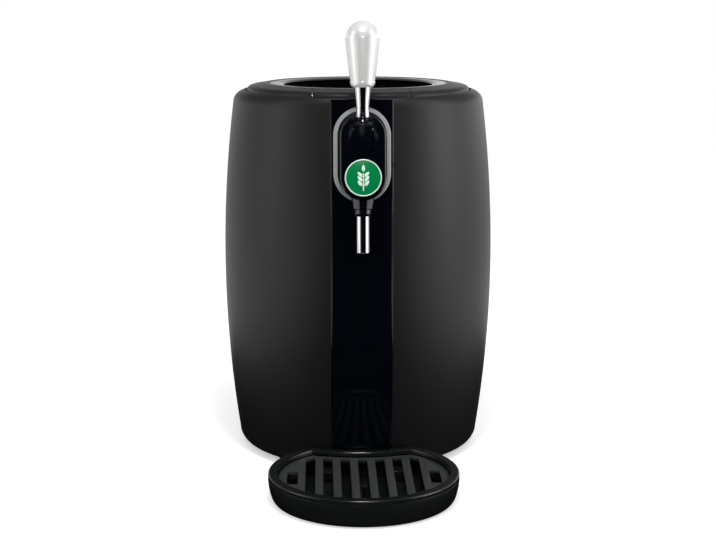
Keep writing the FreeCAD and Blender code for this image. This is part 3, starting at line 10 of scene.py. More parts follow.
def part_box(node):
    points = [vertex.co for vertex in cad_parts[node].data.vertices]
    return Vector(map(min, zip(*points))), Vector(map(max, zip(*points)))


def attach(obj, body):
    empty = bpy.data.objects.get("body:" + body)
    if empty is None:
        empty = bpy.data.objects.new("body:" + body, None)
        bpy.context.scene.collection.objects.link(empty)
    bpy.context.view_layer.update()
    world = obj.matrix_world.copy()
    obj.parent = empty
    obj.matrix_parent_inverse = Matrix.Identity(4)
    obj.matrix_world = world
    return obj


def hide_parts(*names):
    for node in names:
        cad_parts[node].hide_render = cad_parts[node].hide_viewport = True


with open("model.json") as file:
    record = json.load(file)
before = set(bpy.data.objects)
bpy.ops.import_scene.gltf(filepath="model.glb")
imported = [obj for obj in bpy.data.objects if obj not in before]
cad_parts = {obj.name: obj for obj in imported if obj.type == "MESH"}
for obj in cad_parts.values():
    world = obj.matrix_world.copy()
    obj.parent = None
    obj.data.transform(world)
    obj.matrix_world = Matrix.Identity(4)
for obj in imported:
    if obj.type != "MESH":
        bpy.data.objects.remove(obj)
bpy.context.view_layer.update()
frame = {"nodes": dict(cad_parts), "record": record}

bl_info = {
    "name": "Mini Keg Dispenser",
    "version": (1, 0, 0),
    "blender": (4, 5, 0),
    "location": "3D View > Sidebar > Dispenser",
    "description": "Builds the finishes and the detail pieces of a countertop keg dispenser",
    "category": "Object",
}

NODES = frame["nodes"]
SLOTS = {part["node"]: part["material_slot"] for part in frame["record"]["subparts"]}
FINISHES = {**SLOTS, "tap_body": "tap_gloss", "spout_cone": "tap_gloss",
            "spout_ring": "tap_gloss", "float_pin": "black_base", "drip_grille": "bar_satin"}
BODY_OF = {node: body for body, members in frame["record"]["behaviour"]["bodies"].items()
           for node in members}
MM = 0.001
# the tap's leaning frame: the glossy face and the lever are upright in it
TAP_FRAME = (Matrix.Translation((0.0, -104.45 * MM, 310.0 * MM))
             @ Matrix.Rotation(math.radians(-6.0), 4, "X"))
FACE_Y = -31.0 * MM
STEM_Y = -20.0 * MM


# ---------------------------------------------------------------- sizes and colours
def colour(name, description, default):
    return FloatVectorProperty(name=name, description=description, default=default,
                               subtype="COLOR", min=0.0, max=1.0, size=3)


def length(name, description, default):
    return FloatProperty(name=name, description=description, default=default, min=0.0,
                         subtype="DISTANCE", unit="LENGTH")


def share(name, description, default):
    return FloatProperty(name=name, description=description, default=default,
                         subtype="FACTOR", min=0.0, max=1.0)


class DispenserColours(bpy.types.PropertyGroup):
    shell: colour("Shell", "Satin black of the body and lid", (0.0045, 0.005, 0.005))
    gloss: colour("Gloss", "Deep gloss black of the strip and tap", (0.001, 0.0015, 0.003))
    tray: colour("Tray", "Satin black of the drip tray", (0.005, 0.006, 0.006))
    # painted sheen: the bars are the tray's satin black, given a lighter tone for the sheen on
    # their crowns
    bars: colour("Bars", "Satin black of the grille's bars, lightened as painted sheen", (0.032, 0.036, 0.034))
    bezel: colour("Bezel", "Grey metallic paint round the tap", (0.32, 0.33, 0.33))
    chrome: colour("Chrome", "Polished metal of the spout and stem", (0.90, 0.90, 0.91))
    grip: colour("Grip", "Satin metal of the lever's handle", (0.80, 0.80, 0.79))
    aluminium: colour("Aluminium", "Plain metal of the cooling cup and sink", (0.62, 0.63, 0.63))
    zinc: colour("Zinc", "Plated steel of pins and screws", (0.56, 0.56, 0.57))
    rubber: colour("Rubber", "Feet and gasket", (0.022, 0.022, 0.023))
    grey: colour("Grey plastic", "Inner moulded pieces", (0.34, 0.35, 0.36))
    foam: colour("Foam", "Insulation", (0.80, 0.77, 0.70))
    hose: colour("Hose", "Beer tube", (0.78, 0.80, 0.82))
    enamel: colour("Enamel", "Green face of the badge", (0.0, 0.155, 0.045))
    ring: colour("Ring", "Pale rim of the badge", (0.60, 0.78, 0.66))
    ceramic: colour("Ceramic", "Cooling module", (0.84, 0.84, 0.82))
    board: colour("Board", "Circuit board", (0.02, 0.17, 0.07))


class DispenserSizes(bpy.types.PropertyGroup):
    edge: length("Edge", "Rounding of moulded edges", 0.5 * MM)
    bar_edge: length("Bar edge", "Rounding of the grille's bars", 1.3 * MM)
    rim_edge: length("Rim edge", "Rounding of the tray's rim", 1.3 * MM)


class DispenserStage(bpy.types.PropertyGroup):
    camera_place: FloatVectorProperty(name="Camera place", description="Where the camera stands",
                                      default=(-0.040, -1.2835, 0.460), size=3,
                                      subtype="TRANSLATION", unit="LENGTH")
    camera_dip: FloatProperty(name="Camera dip", description="How far the camera looks down",
                              default=math.radians(12.2), subtype="ANGLE", unit="ROTATION")
    camera_turn: FloatProperty(name="Camera turn", description="How far it turns to the right",
                               default=math.radians(1.76), subtype="ANGLE", unit="ROTATION")
    camera_lens: FloatProperty(name="Lens", description="Focal length on a 36 mm sensor",
                               default=64.76, subtype="DISTANCE_CAMERA")
    floor_side: length("Floor side", "Width of the floor", 12.0)
    floor_tone: share("Floor tone", "How pale the floor is", 0.82)
    floor_glow: share("Floor glow", "How much the floor glows to the camera", 0.42)
    room_level: share("Room level", "Light that the room gives all round", 0.75)
    key_power: FloatProperty(name="Key power", description="Right soft box", default=3.5,
                             min=0.0, subtype="POWER", unit="POWER")
    fill_power: FloatProperty(name="Fill power", description="Left soft box", default=1.5,
                              min=0.0, subtype="POWER", unit="POWER")
    top_power: FloatProperty(name="Top power", description="Overhead soft box", default=2.5,
                             min=0.0, subtype="POWER", unit="POWER")
    spark_power: FloatProperty(name="Spark power", description="Small box in front of the lever",
                               default=0.9, min=0.0, subtype="POWER", unit="POWER")
    glint_power: FloatProperty(name="Glint power", description="Small box high over the tray",
                               default=3.0, min=0.0, subtype="POWER", unit="POWER")


# ---------------------------------------------------------------- modelling helpers
def deselect_all():
    if bpy.context.mode != "OBJECT":
        bpy.ops.object.mode_set(mode="OBJECT")
    bpy.ops.object.select_all(action="DESELECT")


def activate(piece):
    deselect_all()
    piece.select_set(True)
    bpy.context.view_layer.objects.active = piece
    return piece


def edit(piece, element="VERT", everything=True):
    activate(piece)
    bpy.ops.object.mode_set(mode="EDIT")
    bpy.ops.mesh.select_mode(type=element)
    bpy.ops.mesh.select_all(action="SELECT" if everything else "DESELECT")


def leave_edit():
    bpy.ops.object.mode_set(mode="OBJECT")


def add_modifier(piece, kind, **settings):
    modifier = piece.modifiers.new(kind.lower(), kind)
    for name, value in settings.items():
        setattr(modifier, name, value)
    return modifier


def apply_modifiers(piece):
    activate(piece)
    for modifier in list(piece.modifiers):
        bpy.ops.object.modifier_apply(modifier=modifier.name)


SOFT_ANGLE = math.radians(35.0)      # a bend flatter than this is shaded smooth, not rounded
FLAT_ANGLE = math.radians(0.3)       # triangles that bend less than this are one flat face
WELD = 0.002 * MM                    # points nearer than this are one point


def smooth(piece):
    activate(piece)
    bpy.ops.object.shade_smooth_by_angle(angle=SOFT_ANGLE)


def put(piece, body, slot_name, *stands_for, finish=None):
    """Settles a finished piece: its place goes into its mesh, and it rides on its body."""
    activate(piece)
    bpy.ops.object.transform_apply(location=True, rotation=True, scale=True)
    piece.data.materials.clear()
    piece.data.materials.append(bpy.data.materials[finish or slot_name])
    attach(piece, body)
    if stands_for:
        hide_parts(*stands_for)
    return piece


AXIS_RADIUS = 0.005          # millimetres; a ring this small closes on the axis
AXIS_WELD = 0.02 * MM


def turned(name, profile, sides=64):
    """A piece turned about Z from (radius, height) points in millimetres."""
    deselect_all()
    points = [(max(radius, AXIS_RADIUS) * MM, height * MM) for radius, height in profile]
    bpy.ops.mesh.primitive_circle_add(vertices=sides, radius=points[0][0],
                                      location=(0.0, 0.0, points[0][1]))
    piece = bpy.context.active_object
    piece.name = name
    edit(piece, "EDGE")
    for (radius, height), (next_radius, next_height) in zip(points, points[1:]):
        bpy.ops.mesh.extrude_edges_move(
            TRANSFORM_OT_translate={"value": (0.0, 0.0, next_height - height)})
        grow = next_radius / radius
        bpy.ops.transform.resize(value=(grow, grow, 1.0),
                                 center_override=(0.0, 0.0, next_height))
    bpy.ops.mesh.select_all(action="SELECT")
    bpy.ops.mesh.remove_doubles(threshold=AXIS_WELD)
    bpy.ops.mesh.normals_make_consistent(inside=False)
    leave_edit()
    bpy.ops.object.transform_apply(location=True, rotation=True, scale=True)
    smooth(piece)
    return piece


def stand(piece, place):
    """Moves a piece to its place and works that place into its mesh."""
    piece.matrix_world = place
    activate(piece)
    bpy.ops.object.transform_apply(location=True, rotation=True, scale=True)
    return piece


def copied(piece, place):
    """A copy with its own mesh, at its own place."""
    activate(piece)
    bpy.ops.object.duplicate()
    return stand(bpy.context.view_layer.objects.active, place)


def joined(pieces, name):
    activate(pieces[0])
    for piece in pieces:
        piece.select_set(True)
    bpy.ops.object.join()
    pieces[0].name = name
    return pieces[0]


def select_vertices(piece, test):
    """Enters edit mode with only the vertices selected that pass the test."""
    edit(piece, "VERT", False)
    leave_edit()
    for vertex in piece.data.vertices:
        vertex.select = test(vertex.co)
    bpy.ops.object.mode_set(mode="EDIT")


def merged_copy(node, name):
    """A copy of a CAD node with its loose triangles welded into flat faces."""
    activate(NODES[node])
    bpy.ops.object.duplicate()
    piece = bpy.context.view_layer.objects.active
    piece.name = name
    piece.parent = None
    piece.hide_render = False
    for key in list(piece.keys()):
        del piece[key]
    edit(piece)
    bpy.ops.mesh.remove_doubles(threshold=WELD)
    bpy.ops.mesh.customdata_custom_splitnormals_clear()
    bpy.ops.mesh.select_all(action="SELECT")
    bpy.ops.mesh.dissolve_limited(angle_limit=FLAT_ANGLE)
    leave_edit()
    return piece


def add_rounding(piece, width, segments=2, angle=SOFT_ANGLE):
    add_modifier(piece, "BEVEL", width=width, segments=segments, limit_method="ANGLE",
                 angle_limit=angle, use_clamp_overlap=True)


def softened(node, width, segments=2):
    """A copy of a CAD node whose sharp edges are rounded."""
    piece = merged_copy(node, node + "_soft")
    add_rounding(piece, width, segments)
    apply_modifiers(piece)
    smooth(piece)
    return put(piece, BODY_OF[node], SLOTS[node], node, finish=FINISHES[node])


# ---------------------------------------------------------------- shader helpers
def new_material(name, values):
    """A new material; one of the same name that came with the frame makes way for it."""
    plain = bpy.data.materials.get(name)
    if plain:
        plain.name = name + "_plain"
    material = bpy.data.materials.new(name)
    material.use_nodes = True
    surface = material.node_tree.nodes["Principled BSDF"]
    for socket, value in values.items():
        surface.inputs[socket].default_value = (*value, 1.0) if len_of(value) == 3 else value
    return material


def len_of(value):
    return len(value) if hasattr(value, "__len__") else 1


def surface_of(material):
    return material.node_tree.nodes["Principled BSDF"]


def new_group(name, inputs, outputs):
    group = bpy.data.node_groups.new(name, "ShaderNodeTree")
    for socket, value in inputs.items():
        kind = "NodeSocketColor" if len_of(value) == 4 else (
            "NodeSocketVector" if len_of(value) == 3 else "NodeSocketFloat")
        group.interface.new_socket(socket, in_out="INPUT", socket_type=kind).default_value = value
    for socket, kind in outputs.items():
        group.interface.new_socket(socket, in_out="OUTPUT", socket_type=kind)
    start = group.nodes.new("NodeGroupInput")
    end = group.nodes.new("NodeGroupOutput")
    return group, start.outputs, end.inputs


def node(tree, kind, **settings):
    made = tree.nodes.new("ShaderNode" + kind)
    for name, value in settings.items():
        setattr(made, name, value)
    return made


def link(tree, source, target):
    tree.links.new(source, target)


def noise(tree, vector, scale, detail=3.0):
    texture = node(tree, "TexNoise")
    texture.inputs["Detail"].default_value = detail
    link(tree, vector, texture.inputs["Vector"])
    link(tree, scale, texture.inputs["Scale"])
    return texture.outputs["Fac"]


def math_node(tree, operation, first, second, third=None):
    made = node(tree, "Math", operation=operation)
    for index, value in enumerate((first, second, third)):
        if value is None:
            continue
        if isinstance(value, (int, float)):
            made.inputs[index].default_value = value
        else:
            link(tree, value, made.inputs[index])
    return made.outputs["Value"]


def mixed_value(tree, factor, first, second):
    mix = node(tree, "Mix", data_type="FLOAT")
    link(tree, factor, mix.inputs["Factor"])
    for index, value in ((2, first), (3, second)):
        if isinstance(value, float):
            mix.inputs[index].default_value = value
        else:
            link(tree, value, mix.inputs[index])
    return mix.outputs["Result"]


def grain_group():
    """Fine moulded or blasted texture: a height from noise and small cells."""
    group, given, result = new_group("surface grain", {"Scale": 900.0, "Depth": 1.0},
                                     {"Height": "NodeSocketFloat"})
    place = node(group, "TexCoord").outputs["Object"]
    fine = noise(group, place, given["Scale"])
    cells = node(group, "TexVoronoi")
    link(group, place, cells.inputs["Vector"])
    link(group, math_node(group, "MULTIPLY", given["Scale"], 0.6), cells.inputs["Scale"])
    both = math_node(group, "MULTIPLY_ADD", cells.outputs["Distance"], 0.5, fine)
    link(group, math_node(group, "MULTIPLY", both, given["Depth"]), result["Height"])
    return group


def drift_group():
    """Slow change of gloss and tone over a moulding, with faint handling marks."""
    group, given, result = new_group(
        "gloss drift", {"Roughness": 0.4, "Spread": 0.05, "Tone": (0.5, 0.5, 0.5, 1.0),
                        "Lighter": 1.15, "Scale": 9.0},
        {"Roughness": "NodeSocketFloat", "Color": "NodeSocketColor"})
    place = node(group, "TexCoord").outputs["Object"]
    slow = noise(group, place, given["Scale"], 4.0)
    centred = math_node(group, "SUBTRACT", slow, 0.5)
    link(group, math_node(group, "MULTIPLY_ADD", centred, given["Spread"], given["Roughness"]),
         result["Roughness"])
    lift = node(group, "Mix", data_type="RGBA", blend_type="MULTIPLY")
    factor = math_node(group, "MULTIPLY", slow, 0.35)
    link(group, factor, lift.inputs["Factor"])
    link(group, given["Tone"], lift.inputs["A"])
    combine = node(group, "CombineColor")
    for channel in ("Red", "Green", "Blue"):
        link(group, given["Lighter"], combine.inputs[channel])
    link(group, combine.outputs["Color"], lift.inputs["B"])
    link(group, lift.outputs["Result"], result["Color"])
    return group


def brushed_group():
    """Long fine lines: noise that is stretched by a different scale along each axis."""
    group, given, result = new_group("brushed lines", {"Stretch": (900.0, 900.0, 12.0),
                                                       "Depth": 1.0},
                                     {"Height": "NodeSocketFloat"})
    stretch = node(group, "VectorMath", operation="MULTIPLY")
    link(group, node(group, "TexCoord").outputs["Object"], stretch.inputs[0])
    link(group, given["Stretch"], stretch.inputs[1])
    lines = node(group, "TexNoise")
    lines.inputs["Scale"].default_value = 1.0
    link(group, stretch.outputs["Vector"], lines.inputs["Vector"])
    link(group, math_node(group, "MULTIPLY", lines.outputs["Fac"], given["Depth"]),
         result["Height"])
    return group


def effect(material, group, values):
    made = material.node_tree.nodes.new("ShaderNodeGroup")
    made.node_tree = bpy.data.node_groups[group]
    for socket, value in values.items():
        made.inputs[socket].default_value = value
    return made


def add_drift(material, tone, roughness, spread, scale=9.0, lighter=1.15):
    tree = material.node_tree
    made = effect(material, "gloss drift", {"Roughness": roughness, "Spread": spread,
                                            "Tone": (*tone, 1.0), "Lighter": lighter,
                                            "Scale": scale})
    surface = surface_of(material)
    link(tree, made.outputs["Roughness"], surface.inputs["Roughness"])
    link(tree, made.outputs["Color"], surface.inputs["Base Color"])


def add_bump(material, height, distance):
    tree = material.node_tree
    bump = node(tree, "Bump")
    bump.inputs["Strength"].default_value = 1.0
    bump.inputs["Distance"].default_value = distance
    link(tree, height, bump.inputs["Height"])
    link(tree, bump.outputs["Normal"], surface_of(material).inputs["Normal"])


def add_grain(material, scale, distance):
    made = effect(material, "surface grain", {"Scale": scale})
    add_bump(material, made.outputs["Height"], distance)


def add_brushing(material, stretch, distance):
    made = effect(material, "brushed lines", {"Stretch": stretch})
    add_bump(material, made.outputs["Height"], distance)


# ---------------------------------------------------------------- finishes
def moulded(name, tone, roughness, specular, grain_scale, grain_depth, spread=0.06):
    """A moulded plastic: slow gloss drift under a fine texture."""
    material = new_material(name, {"Specular IOR Level": specular})
    add_drift(material, tone, roughness, spread)
    add_grain(material, grain_scale, grain_depth)
    return material


def metal(name, tone, roughness, spread=0.03, metallic=1.0):
    material = new_material(name, {"Metallic": metallic})
    add_drift(material, tone, roughness, spread, lighter=1.0)
    return material


def plastic_finishes(tones):
    moulded("satin_black", tones.shell, 0.42, 0.5, 2200.0, 0.006 * MM)
    moulded("gloss_black", tones.gloss, 0.07, 0.35, 260.0, 0.0015 * MM, 0.03)
    moulded("tap_gloss", tones.gloss, 0.13, 1.0, 260.0, 0.0015 * MM, 0.03)
    moulded("black_base", tones.shell, 0.5, 0.45, 1500.0, 0.012 * MM)
    moulded("lid_gloss", tones.gloss, 0.22, 0.4, 1800.0, 0.004 * MM)
    moulded("tray_satin", tones.tray, 0.34, 0.5, 1600.0, 0.006 * MM)
    # painted sheen: a lighter copy of the tray's satin black, for the grille's bars
    moulded("bar_satin", tones.bars, 0.3, 0.6, 1600.0, 0.006 * MM)
    moulded("tray_gloss", tones.tray, 0.16, 0.8, 1600.0, 0.003 * MM)
    moulded("grey_plastic", tones.grey, 0.45, 0.5, 1500.0, 0.01 * MM)
    moulded("rubber", tones.rubber, 0.75, 0.3, 1100.0, 0.03 * MM)
    moulded("foam", tones.foam, 0.9, 0.2, 420.0, 0.35 * MM)
    moulded("green_enamel", tones.enamel, 0.12, 0.5, 300.0, 0.001 * MM, 0.04)
    moulded("board_green", tones.board, 0.35, 0.5, 600.0, 0.02 * MM)
    moulded("ceramic_white", tones.ceramic, 0.6, 0.4, 900.0, 0.01 * MM)


def metal_finishes(tones):
    add_grain(metal("dark_metal", tones.bezel, 0.38, metallic=0.4), 1800.0, 0.003 * MM)
    add_grain(metal("satin_aluminium", tones.grip, 0.22, metallic=0.5), 2600.0, 0.006 * MM)
    add_grain(metal("chrome", tones.chrome, 0.05, 0.02), 300.0, 0.0005 * MM)
    add_brushing(metal("aluminium", tones.aluminium, 0.3), (700.0, 700.0, 10.0), 0.01 * MM)
    add_brushing(metal("steel", tones.zinc, 0.3), (14.0, 900.0, 900.0), 0.006 * MM)
    add_grain(metal("pale_ring", tones.ring, 0.3, metallic=0.15), 900.0, 0.002 * MM)


def hose_finish(tones):
    material = moulded("clear_hose", tones.hose, 0.2, 0.5, 700.0, 0.004 * MM)
    surface_of(material).inputs["Transmission Weight"].default_value = 0.6


class DISPENSER_OT_finishes(bpy.types.Operator):
    """Makes every finish and gives each piece of the frame its own"""
    bl_idname = "dispenser.finishes"
    bl_label = "Finishes"

    def execute(self, context):
        for build in (grain_group, drift_group, brushed_group):
            build()
        tones = context.scene.dispenser_colours
        plastic_finishes(tones)
        metal_finishes(tones)
        hose_finish(tones)
        for name, piece in NODES.items():
            piece.data.materials.clear()
            piece.data.materials.append(bpy.data.materials[FINISHES[name]])
        return {"FINISHED"}


ROUNDED_NODES = ("lid_shell", "lid_dish", "lid_tab", "tap_face", "rear_grille", "rear_housing",
                 "base_pan")


class DISPENSER_OT_casing(bpy.types.Operator):
    """Rounds the moulded edges of the casing, lid, tap and tray"""
    bl_idname = "dispenser.casing"
    bl_label = "Casing edges"

    def execute(self, context):
        sizes = context.scene.dispenser_sizes
        for name in ROUNDED_NODES:
            softened(name, sizes.edge)
        softened("tray_bowl", sizes.rim_edge, 3)
        softened("drip_grille", sizes.bar_edge, 3)
        return {"FINISHED"}


# ---------------------------------------------------------------- front strip
# all in millimetres
BELLY_Z = 188.0              # the barrel's widest level, and the centre of its upright curve
BELLY_Y = 16.5               # middle of the barrel there
BELLY_HALF = 136.0
BELLY_DEPTH = 127.0          # from the middle to the front
BARREL_ARC = 1230.0
STRIP_PROUD = 1.0
PANEL_PROUD = 1.6
STRIP_SINK = 1.2
STRIP_ROUND = ((0.0, 0.95), (0.5, 0.42), (1.4, 0.0))       # from the edge, and how far back
STRIP_FRONT_STEPS = 20
STRIP_REAR_STEPS = 12
STRIP_LENGTH_STEP = 4.0
STRIP_EDGE = 0.45 * MM       # metres: rounding of the strip's ends and of the cut
STRIP_CORNER = math.radians(60.0)
BEZEL_WAY = (26.7, -40.6, 47.5)     # half width, lowest and highest point of the cut for the bezel
BEZEL_CUT_DEEP = 43.0
BEZEL_CUT_BACK = 14.0        # behind the tap's origin, where the cut ends


def belly_front(x, offset):
    """Y of the barrel's front at the belly, that far outside it."""
    half, depth = BELLY_HALF + offset, BELLY_DEPTH + offset
    return BELLY_Y - depth * math.sqrt(1.0 - (x / half) ** 2)


def strip_section(half, proud):
    """The strip's section at the belly, once round from its right rear corner."""
    flat = half - STRIP_ROUND[-1][0]
    edge_y = belly_front(flat, proud)
    right = [(half - inset, edge_y + back) for inset, back in STRIP_ROUND[:-1]]
    across = [flat - 2.0 * flat * step / STRIP_FRONT_STEPS for step in range(STRIP_FRONT_STEPS + 1)]
    front = [(x, belly_front(x, proud)) for x in across]
    left = [(-x, y) for x, y in reversed(right)]
    back_across = [half * (2.0 * step / STRIP_REAR_STEPS - 1.0)
                   for step in range(STRIP_REAR_STEPS + 1)]
    rear = [(x, belly_front(x, -STRIP_SINK)) for x in back_across]
    return [rear[-1]] + right + front + left + rear


def drawn(name, points):
    """A wire that one vertex draws by being extruded from each point to the next."""
    deselect_all()
    bpy.ops.mesh.primitive_plane_add(size=MM, location=points[0])
    wire = bpy.context.active_object
    wire.name = name
    edit(wire)
    bpy.ops.mesh.merge(type="CENTER")
    for start, end in zip(points, points[1:]):
        bpy.ops.mesh.extrude_vertices_move(TRANSFORM_OT_translate={"value": end - start})
    bpy.ops.mesh.select_all(action="SELECT")
    bpy.ops.mesh.remove_doubles(threshold=WELD)
    leave_edit()
    return wire


def bezel_cutter():
    """A long round-ended plug that makes room for the bezel."""
    half, low, high = BEZEL_WAY
    plug = turned("bezel_cutter", ((0, 0), (half, 0), (half, BEZEL_CUT_DEEP), (0, BEZEL_CUT_DEEP)))
    select_vertices(plug, lambda point: point.y > 0.1 * MM)
    bpy.ops.transform.translate(value=(0.0, (high - low - 2.0 * half) * MM, 0.0))
    leave_edit()
    way = Matrix.Translation((0.0, BEZEL_CUT_BACK * MM, (low + half) * MM))
    return stand(plug, TAP_FRAME @ way @ Matrix.Rotation(math.radians(90.0), 4, "X"))


def swept_strip(name, proud):
    """The strip swept along the barrel's upright curve, with its edges rolled over."""
    low, high = (Vector(corner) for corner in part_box(name))
    centre = Vector((0.0, belly_front(0.0, 0.0) + BARREL_ARC, BELLY_Z)) * MM
    down = math.asin((BELLY_Z - low.z / MM) / BARREL_ARC)
    up = math.asin((high.z / MM - BELLY_Z) / BARREL_ARC)
    section = []
    for x, y in strip_section(high.x / MM, proud):
        reach = y * MM - centre.y
        section.append(Vector((x * MM, centre.y + reach * math.cos(down),
                               centre.z + reach * math.sin(down))))
    piece = drawn(name + "_swept", section)
    edit(piece, "EDGE")
    steps = max(int((high.z - low.z) / (STRIP_LENGTH_STEP * MM)), 8)
    bpy.ops.mesh.spin(steps=steps, angle=down + up, center=centre, axis=(1.0, 0.0, 0.0))
    bpy.ops.mesh.select_all(action="SELECT")
    bpy.ops.mesh.fill_holes(sides=0)
    bpy.ops.mesh.select_all(action="SELECT")
    bpy.ops.mesh.normals_make_consistent(inside=False)
    leave_edit()
    cutter = bezel_cutter()
    add_modifier(piece, "BOOLEAN", operation="DIFFERENCE", object=cutter, solver="EXACT")
    add_rounding(piece, STRIP_EDGE, angle=STRIP_CORNER)
    apply_modifiers(piece)
    bpy.data.objects.remove(cutter)
    smooth(piece)
    return put(piece, BODY_OF[name], SLOTS[name], name)


class DISPENSER_OT_strip(bpy.types.Operator):
    """Sweeps the glossy strip down the barrel, with edges that catch the light in a thin line"""
    bl_idname = "dispenser.strip"
    bl_label = "Front strip"

    def execute(self, context):
        swept_strip("front_strip", STRIP_PROUD)
        swept_strip("tap_panel", PANEL_PROUD)
        return {"FINISHED"}


# ---------------------------------------------------------------- badge
BADGE_DOME = 2.2             # height of the enamel in the middle, millimetres
BADGE_SIDES = 96
ENAMEL_PROFILE = ((0, 0), (15.5, 0), (15.5, 1.2), (15.2, 1.5), (12.0, 1.8), (8.0, 2.0),
                  (4.0, 2.15), (0, BADGE_DOME))
BEAD_PROFILE = ((15.5, 0), (16.7, 0), (16.7, 1.4), (16.5, 1.9), (16.1, 2.1), (15.7, 1.9),
                (15.5, 1.4), (15.5, 0))
GRAIN_PROFILE = ((0, 0), (0.8, 0.5), (1.4, 1.6), (1.55, 2.9), (1.2, 4.4), (0.6, 5.6), (0, 6.4))
STALK_PROFILE = ((0, 0), (0.5, 0.3), (0.6, 3.0), (0.5, 16.0), (0, 16.4))
GRAIN_FLATTENED = 0.6
TOP_GRAIN = 5.4              # heights along the badge from its centre
GRAIN_PAIRS = (-7.4, -3.4, 0.6)
STALK_FOOT = -12.0
GRAIN_ASIDE = 1.1
GRAIN_LEAN = 40.0


def badge_frame():
    """Z stands out of the face at the badge's centre, and Y is up along the face."""
    low, high = (Vector(corner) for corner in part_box("badge_disc"))
    centre = TAP_FRAME.inverted() @ ((low + high) / 2.0)
    return (TAP_FRAME @ Matrix.Translation((0.0, FACE_Y, centre.z))
            @ Matrix.Rotation(math.radians(90.0), 4, "X"))


def grain_place(x, y, lean):
    return (badge_frame() @ Matrix.Translation((x * MM, y * MM, BADGE_DOME * MM))
            @ Matrix.Rotation(math.radians(lean), 4, "Z")
            @ Matrix.Rotation(math.radians(-90.0), 4, "X")
            @ Matrix.Diagonal((1.0, GRAIN_FLATTENED, 1.0, 1.0)))


class DISPENSER_OT_badge(bpy.types.Operator):
    """Makes the round badge: domed enamel, a pale bead round it and a plain ear of barley"""
    bl_idname = "dispenser.badge"
    bl_label = "Badge"

    def execute(self, context):
        enamel = turned("badge_enamel", ENAMEL_PROFILE, BADGE_SIDES)
        put(stand(enamel, badge_frame()), BODY_OF["badge_disc"], "green_enamel", "badge_disc")
        bead = turned("badge_bead", BEAD_PROFILE, BADGE_SIDES)
        put(stand(bead, badge_frame()), BODY_OF["badge_ring"], "pale_ring", "badge_ring")
        self.add_barley()
        return {"FINISHED"}

    def add_barley(self):
        grain = turned("barley_grain", GRAIN_PROFILE, 16)
        ear = [copied(grain, grain_place(0.0, TOP_GRAIN, 0.0))]
        for height in GRAIN_PAIRS:
            for side in (-1, 1):
                ear.append(copied(grain, grain_place(side * GRAIN_ASIDE, height,
                                                     -side * GRAIN_LEAN)))
        bpy.data.objects.remove(grain)
        stalk = turned("barley_stalk", STALK_PROFILE, 12)
        ear.append(stand(stalk, grain_place(0.0, STALK_FOOT, 0.0)))
        put(joined(ear, "badge_barley"), BODY_OF["badge_disc"], "pale_ring")


# ---------------------------------------------------------------- lever
ROCKER_TOP = 33.0
LEDGE_BEVEL = 3.4            # slope at the top of the tongue, in front of the stem
LEDGE_NEAR = 0.05 * MM       # how near a point lies to the ledge's line to be on it
TONGUE_EDGE = 0.35 * MM
POST_PROFILE = ((0, 37.4), (6.5, 37.4), (6.1, 38.6), (5.85, 40.4), (5.75, 43), (6.0, 47),
                (6.4, 51), (7.1, 58), (7.75, 63.7), (0, 63.7))
FOOT_PROFILE = ((0, 29.2), (2.9, 29.2), (2.9, ROCKER_TOP), (8.4, ROCKER_TOP), (8.5, 33.3),
                (8.2, 33.8), (7.5, 34.7), (7.0, 35.8), (6.7, 37.0), (6.4, 37.4), (0, 37.4))


class DISPENSER_OT_lever(bpy.types.Operator):
    """Makes the stem with its trumpet foot, whose chrome is painted gloss black for the dark that
    it reflects, and slopes the tongue's top edge
    """
    bl_idname = "dispenser.lever"
    bl_label = "Lever"

    def execute(self, context):
        axis = TAP_FRAME @ Matrix.Translation((0.0, STEM_Y, 0.0))
        post = stand(turned("stem_post", POST_PROFILE), axis)
        put(post, "lever", "chrome", "lever_stem")
        foot = stand(turned("stem_foot", FOOT_PROFILE), axis)
        # painted reflection: the chrome foot is given gloss black for the dark surroundings that it
        # reflects
        put(foot, "lever", "gloss_black")
        self.slope_tongue()
        return {"FINISHED"}

    def slope_tongue(self):
        piece = merged_copy("lever_rocker", "lever_rocker_soft")
        to_tap = TAP_FRAME.inverted()

        def on_ledge(point):
            place = to_tap @ point
            return (abs(place.z - ROCKER_TOP * MM) < LEDGE_NEAR
                    and abs(place.y - FACE_Y) < LEDGE_NEAR)

        select_vertices(piece, on_ledge)
        bpy.ops.mesh.select_mode(type="EDGE")
        bpy.ops.mesh.bevel(offset=LEDGE_BEVEL * MM, segments=1, affect="EDGES")
        leave_edit()
        add_rounding(piece, TONGUE_EDGE)
        apply_modifiers(piece)
        smooth(piece)
        put(piece, BODY_OF["lever_rocker"], SLOTS["lever_rocker"], "lever_rocker")


# ---------------------------------------------------------------- studio
ROOM_PEAK = 1.6
CEILING = 0.2                # what is left of the walls' light overhead
CEILING_RISE = (0.08, 0.4)   # how steeply up a reflection looks where the walls fade to it
SIDE_BLEND = 5.0             # how fast the left wall gives way to the right one in the middle
FRONT_FLAG = ((0.01, -0.42, 0.27), (0.50, 0.60), (math.radians(90.0), 0.0, 0.0))
# painted shade: a black card on the floor round the object that only reflections see, for the
# floor's shade near it
FLOOR_FLAG = ((0.01, -0.50, 0.001), (0.84, 1.60), (0.0, 0.0, 0.0))
BODY_TARGET = (0.0, 0.0, 0.22)
SIDE_BOX = (0.5, 1.1)
# share of the way round from the front, and how bright the studio's wall is there
LEFT_WALL = ((0.0, 0.0), (0.06, 0.04), (0.12, 0.22), (0.19, 0.42), (0.59, 0.68), (1.0, 1.0))
RIGHT_WALL = ((0.0, 0.0), (0.10, 0.04), (0.15, 0.28), (0.27, 0.80), (0.45, 1.1),
              (0.75, 1.6), (1.0, 1.4))


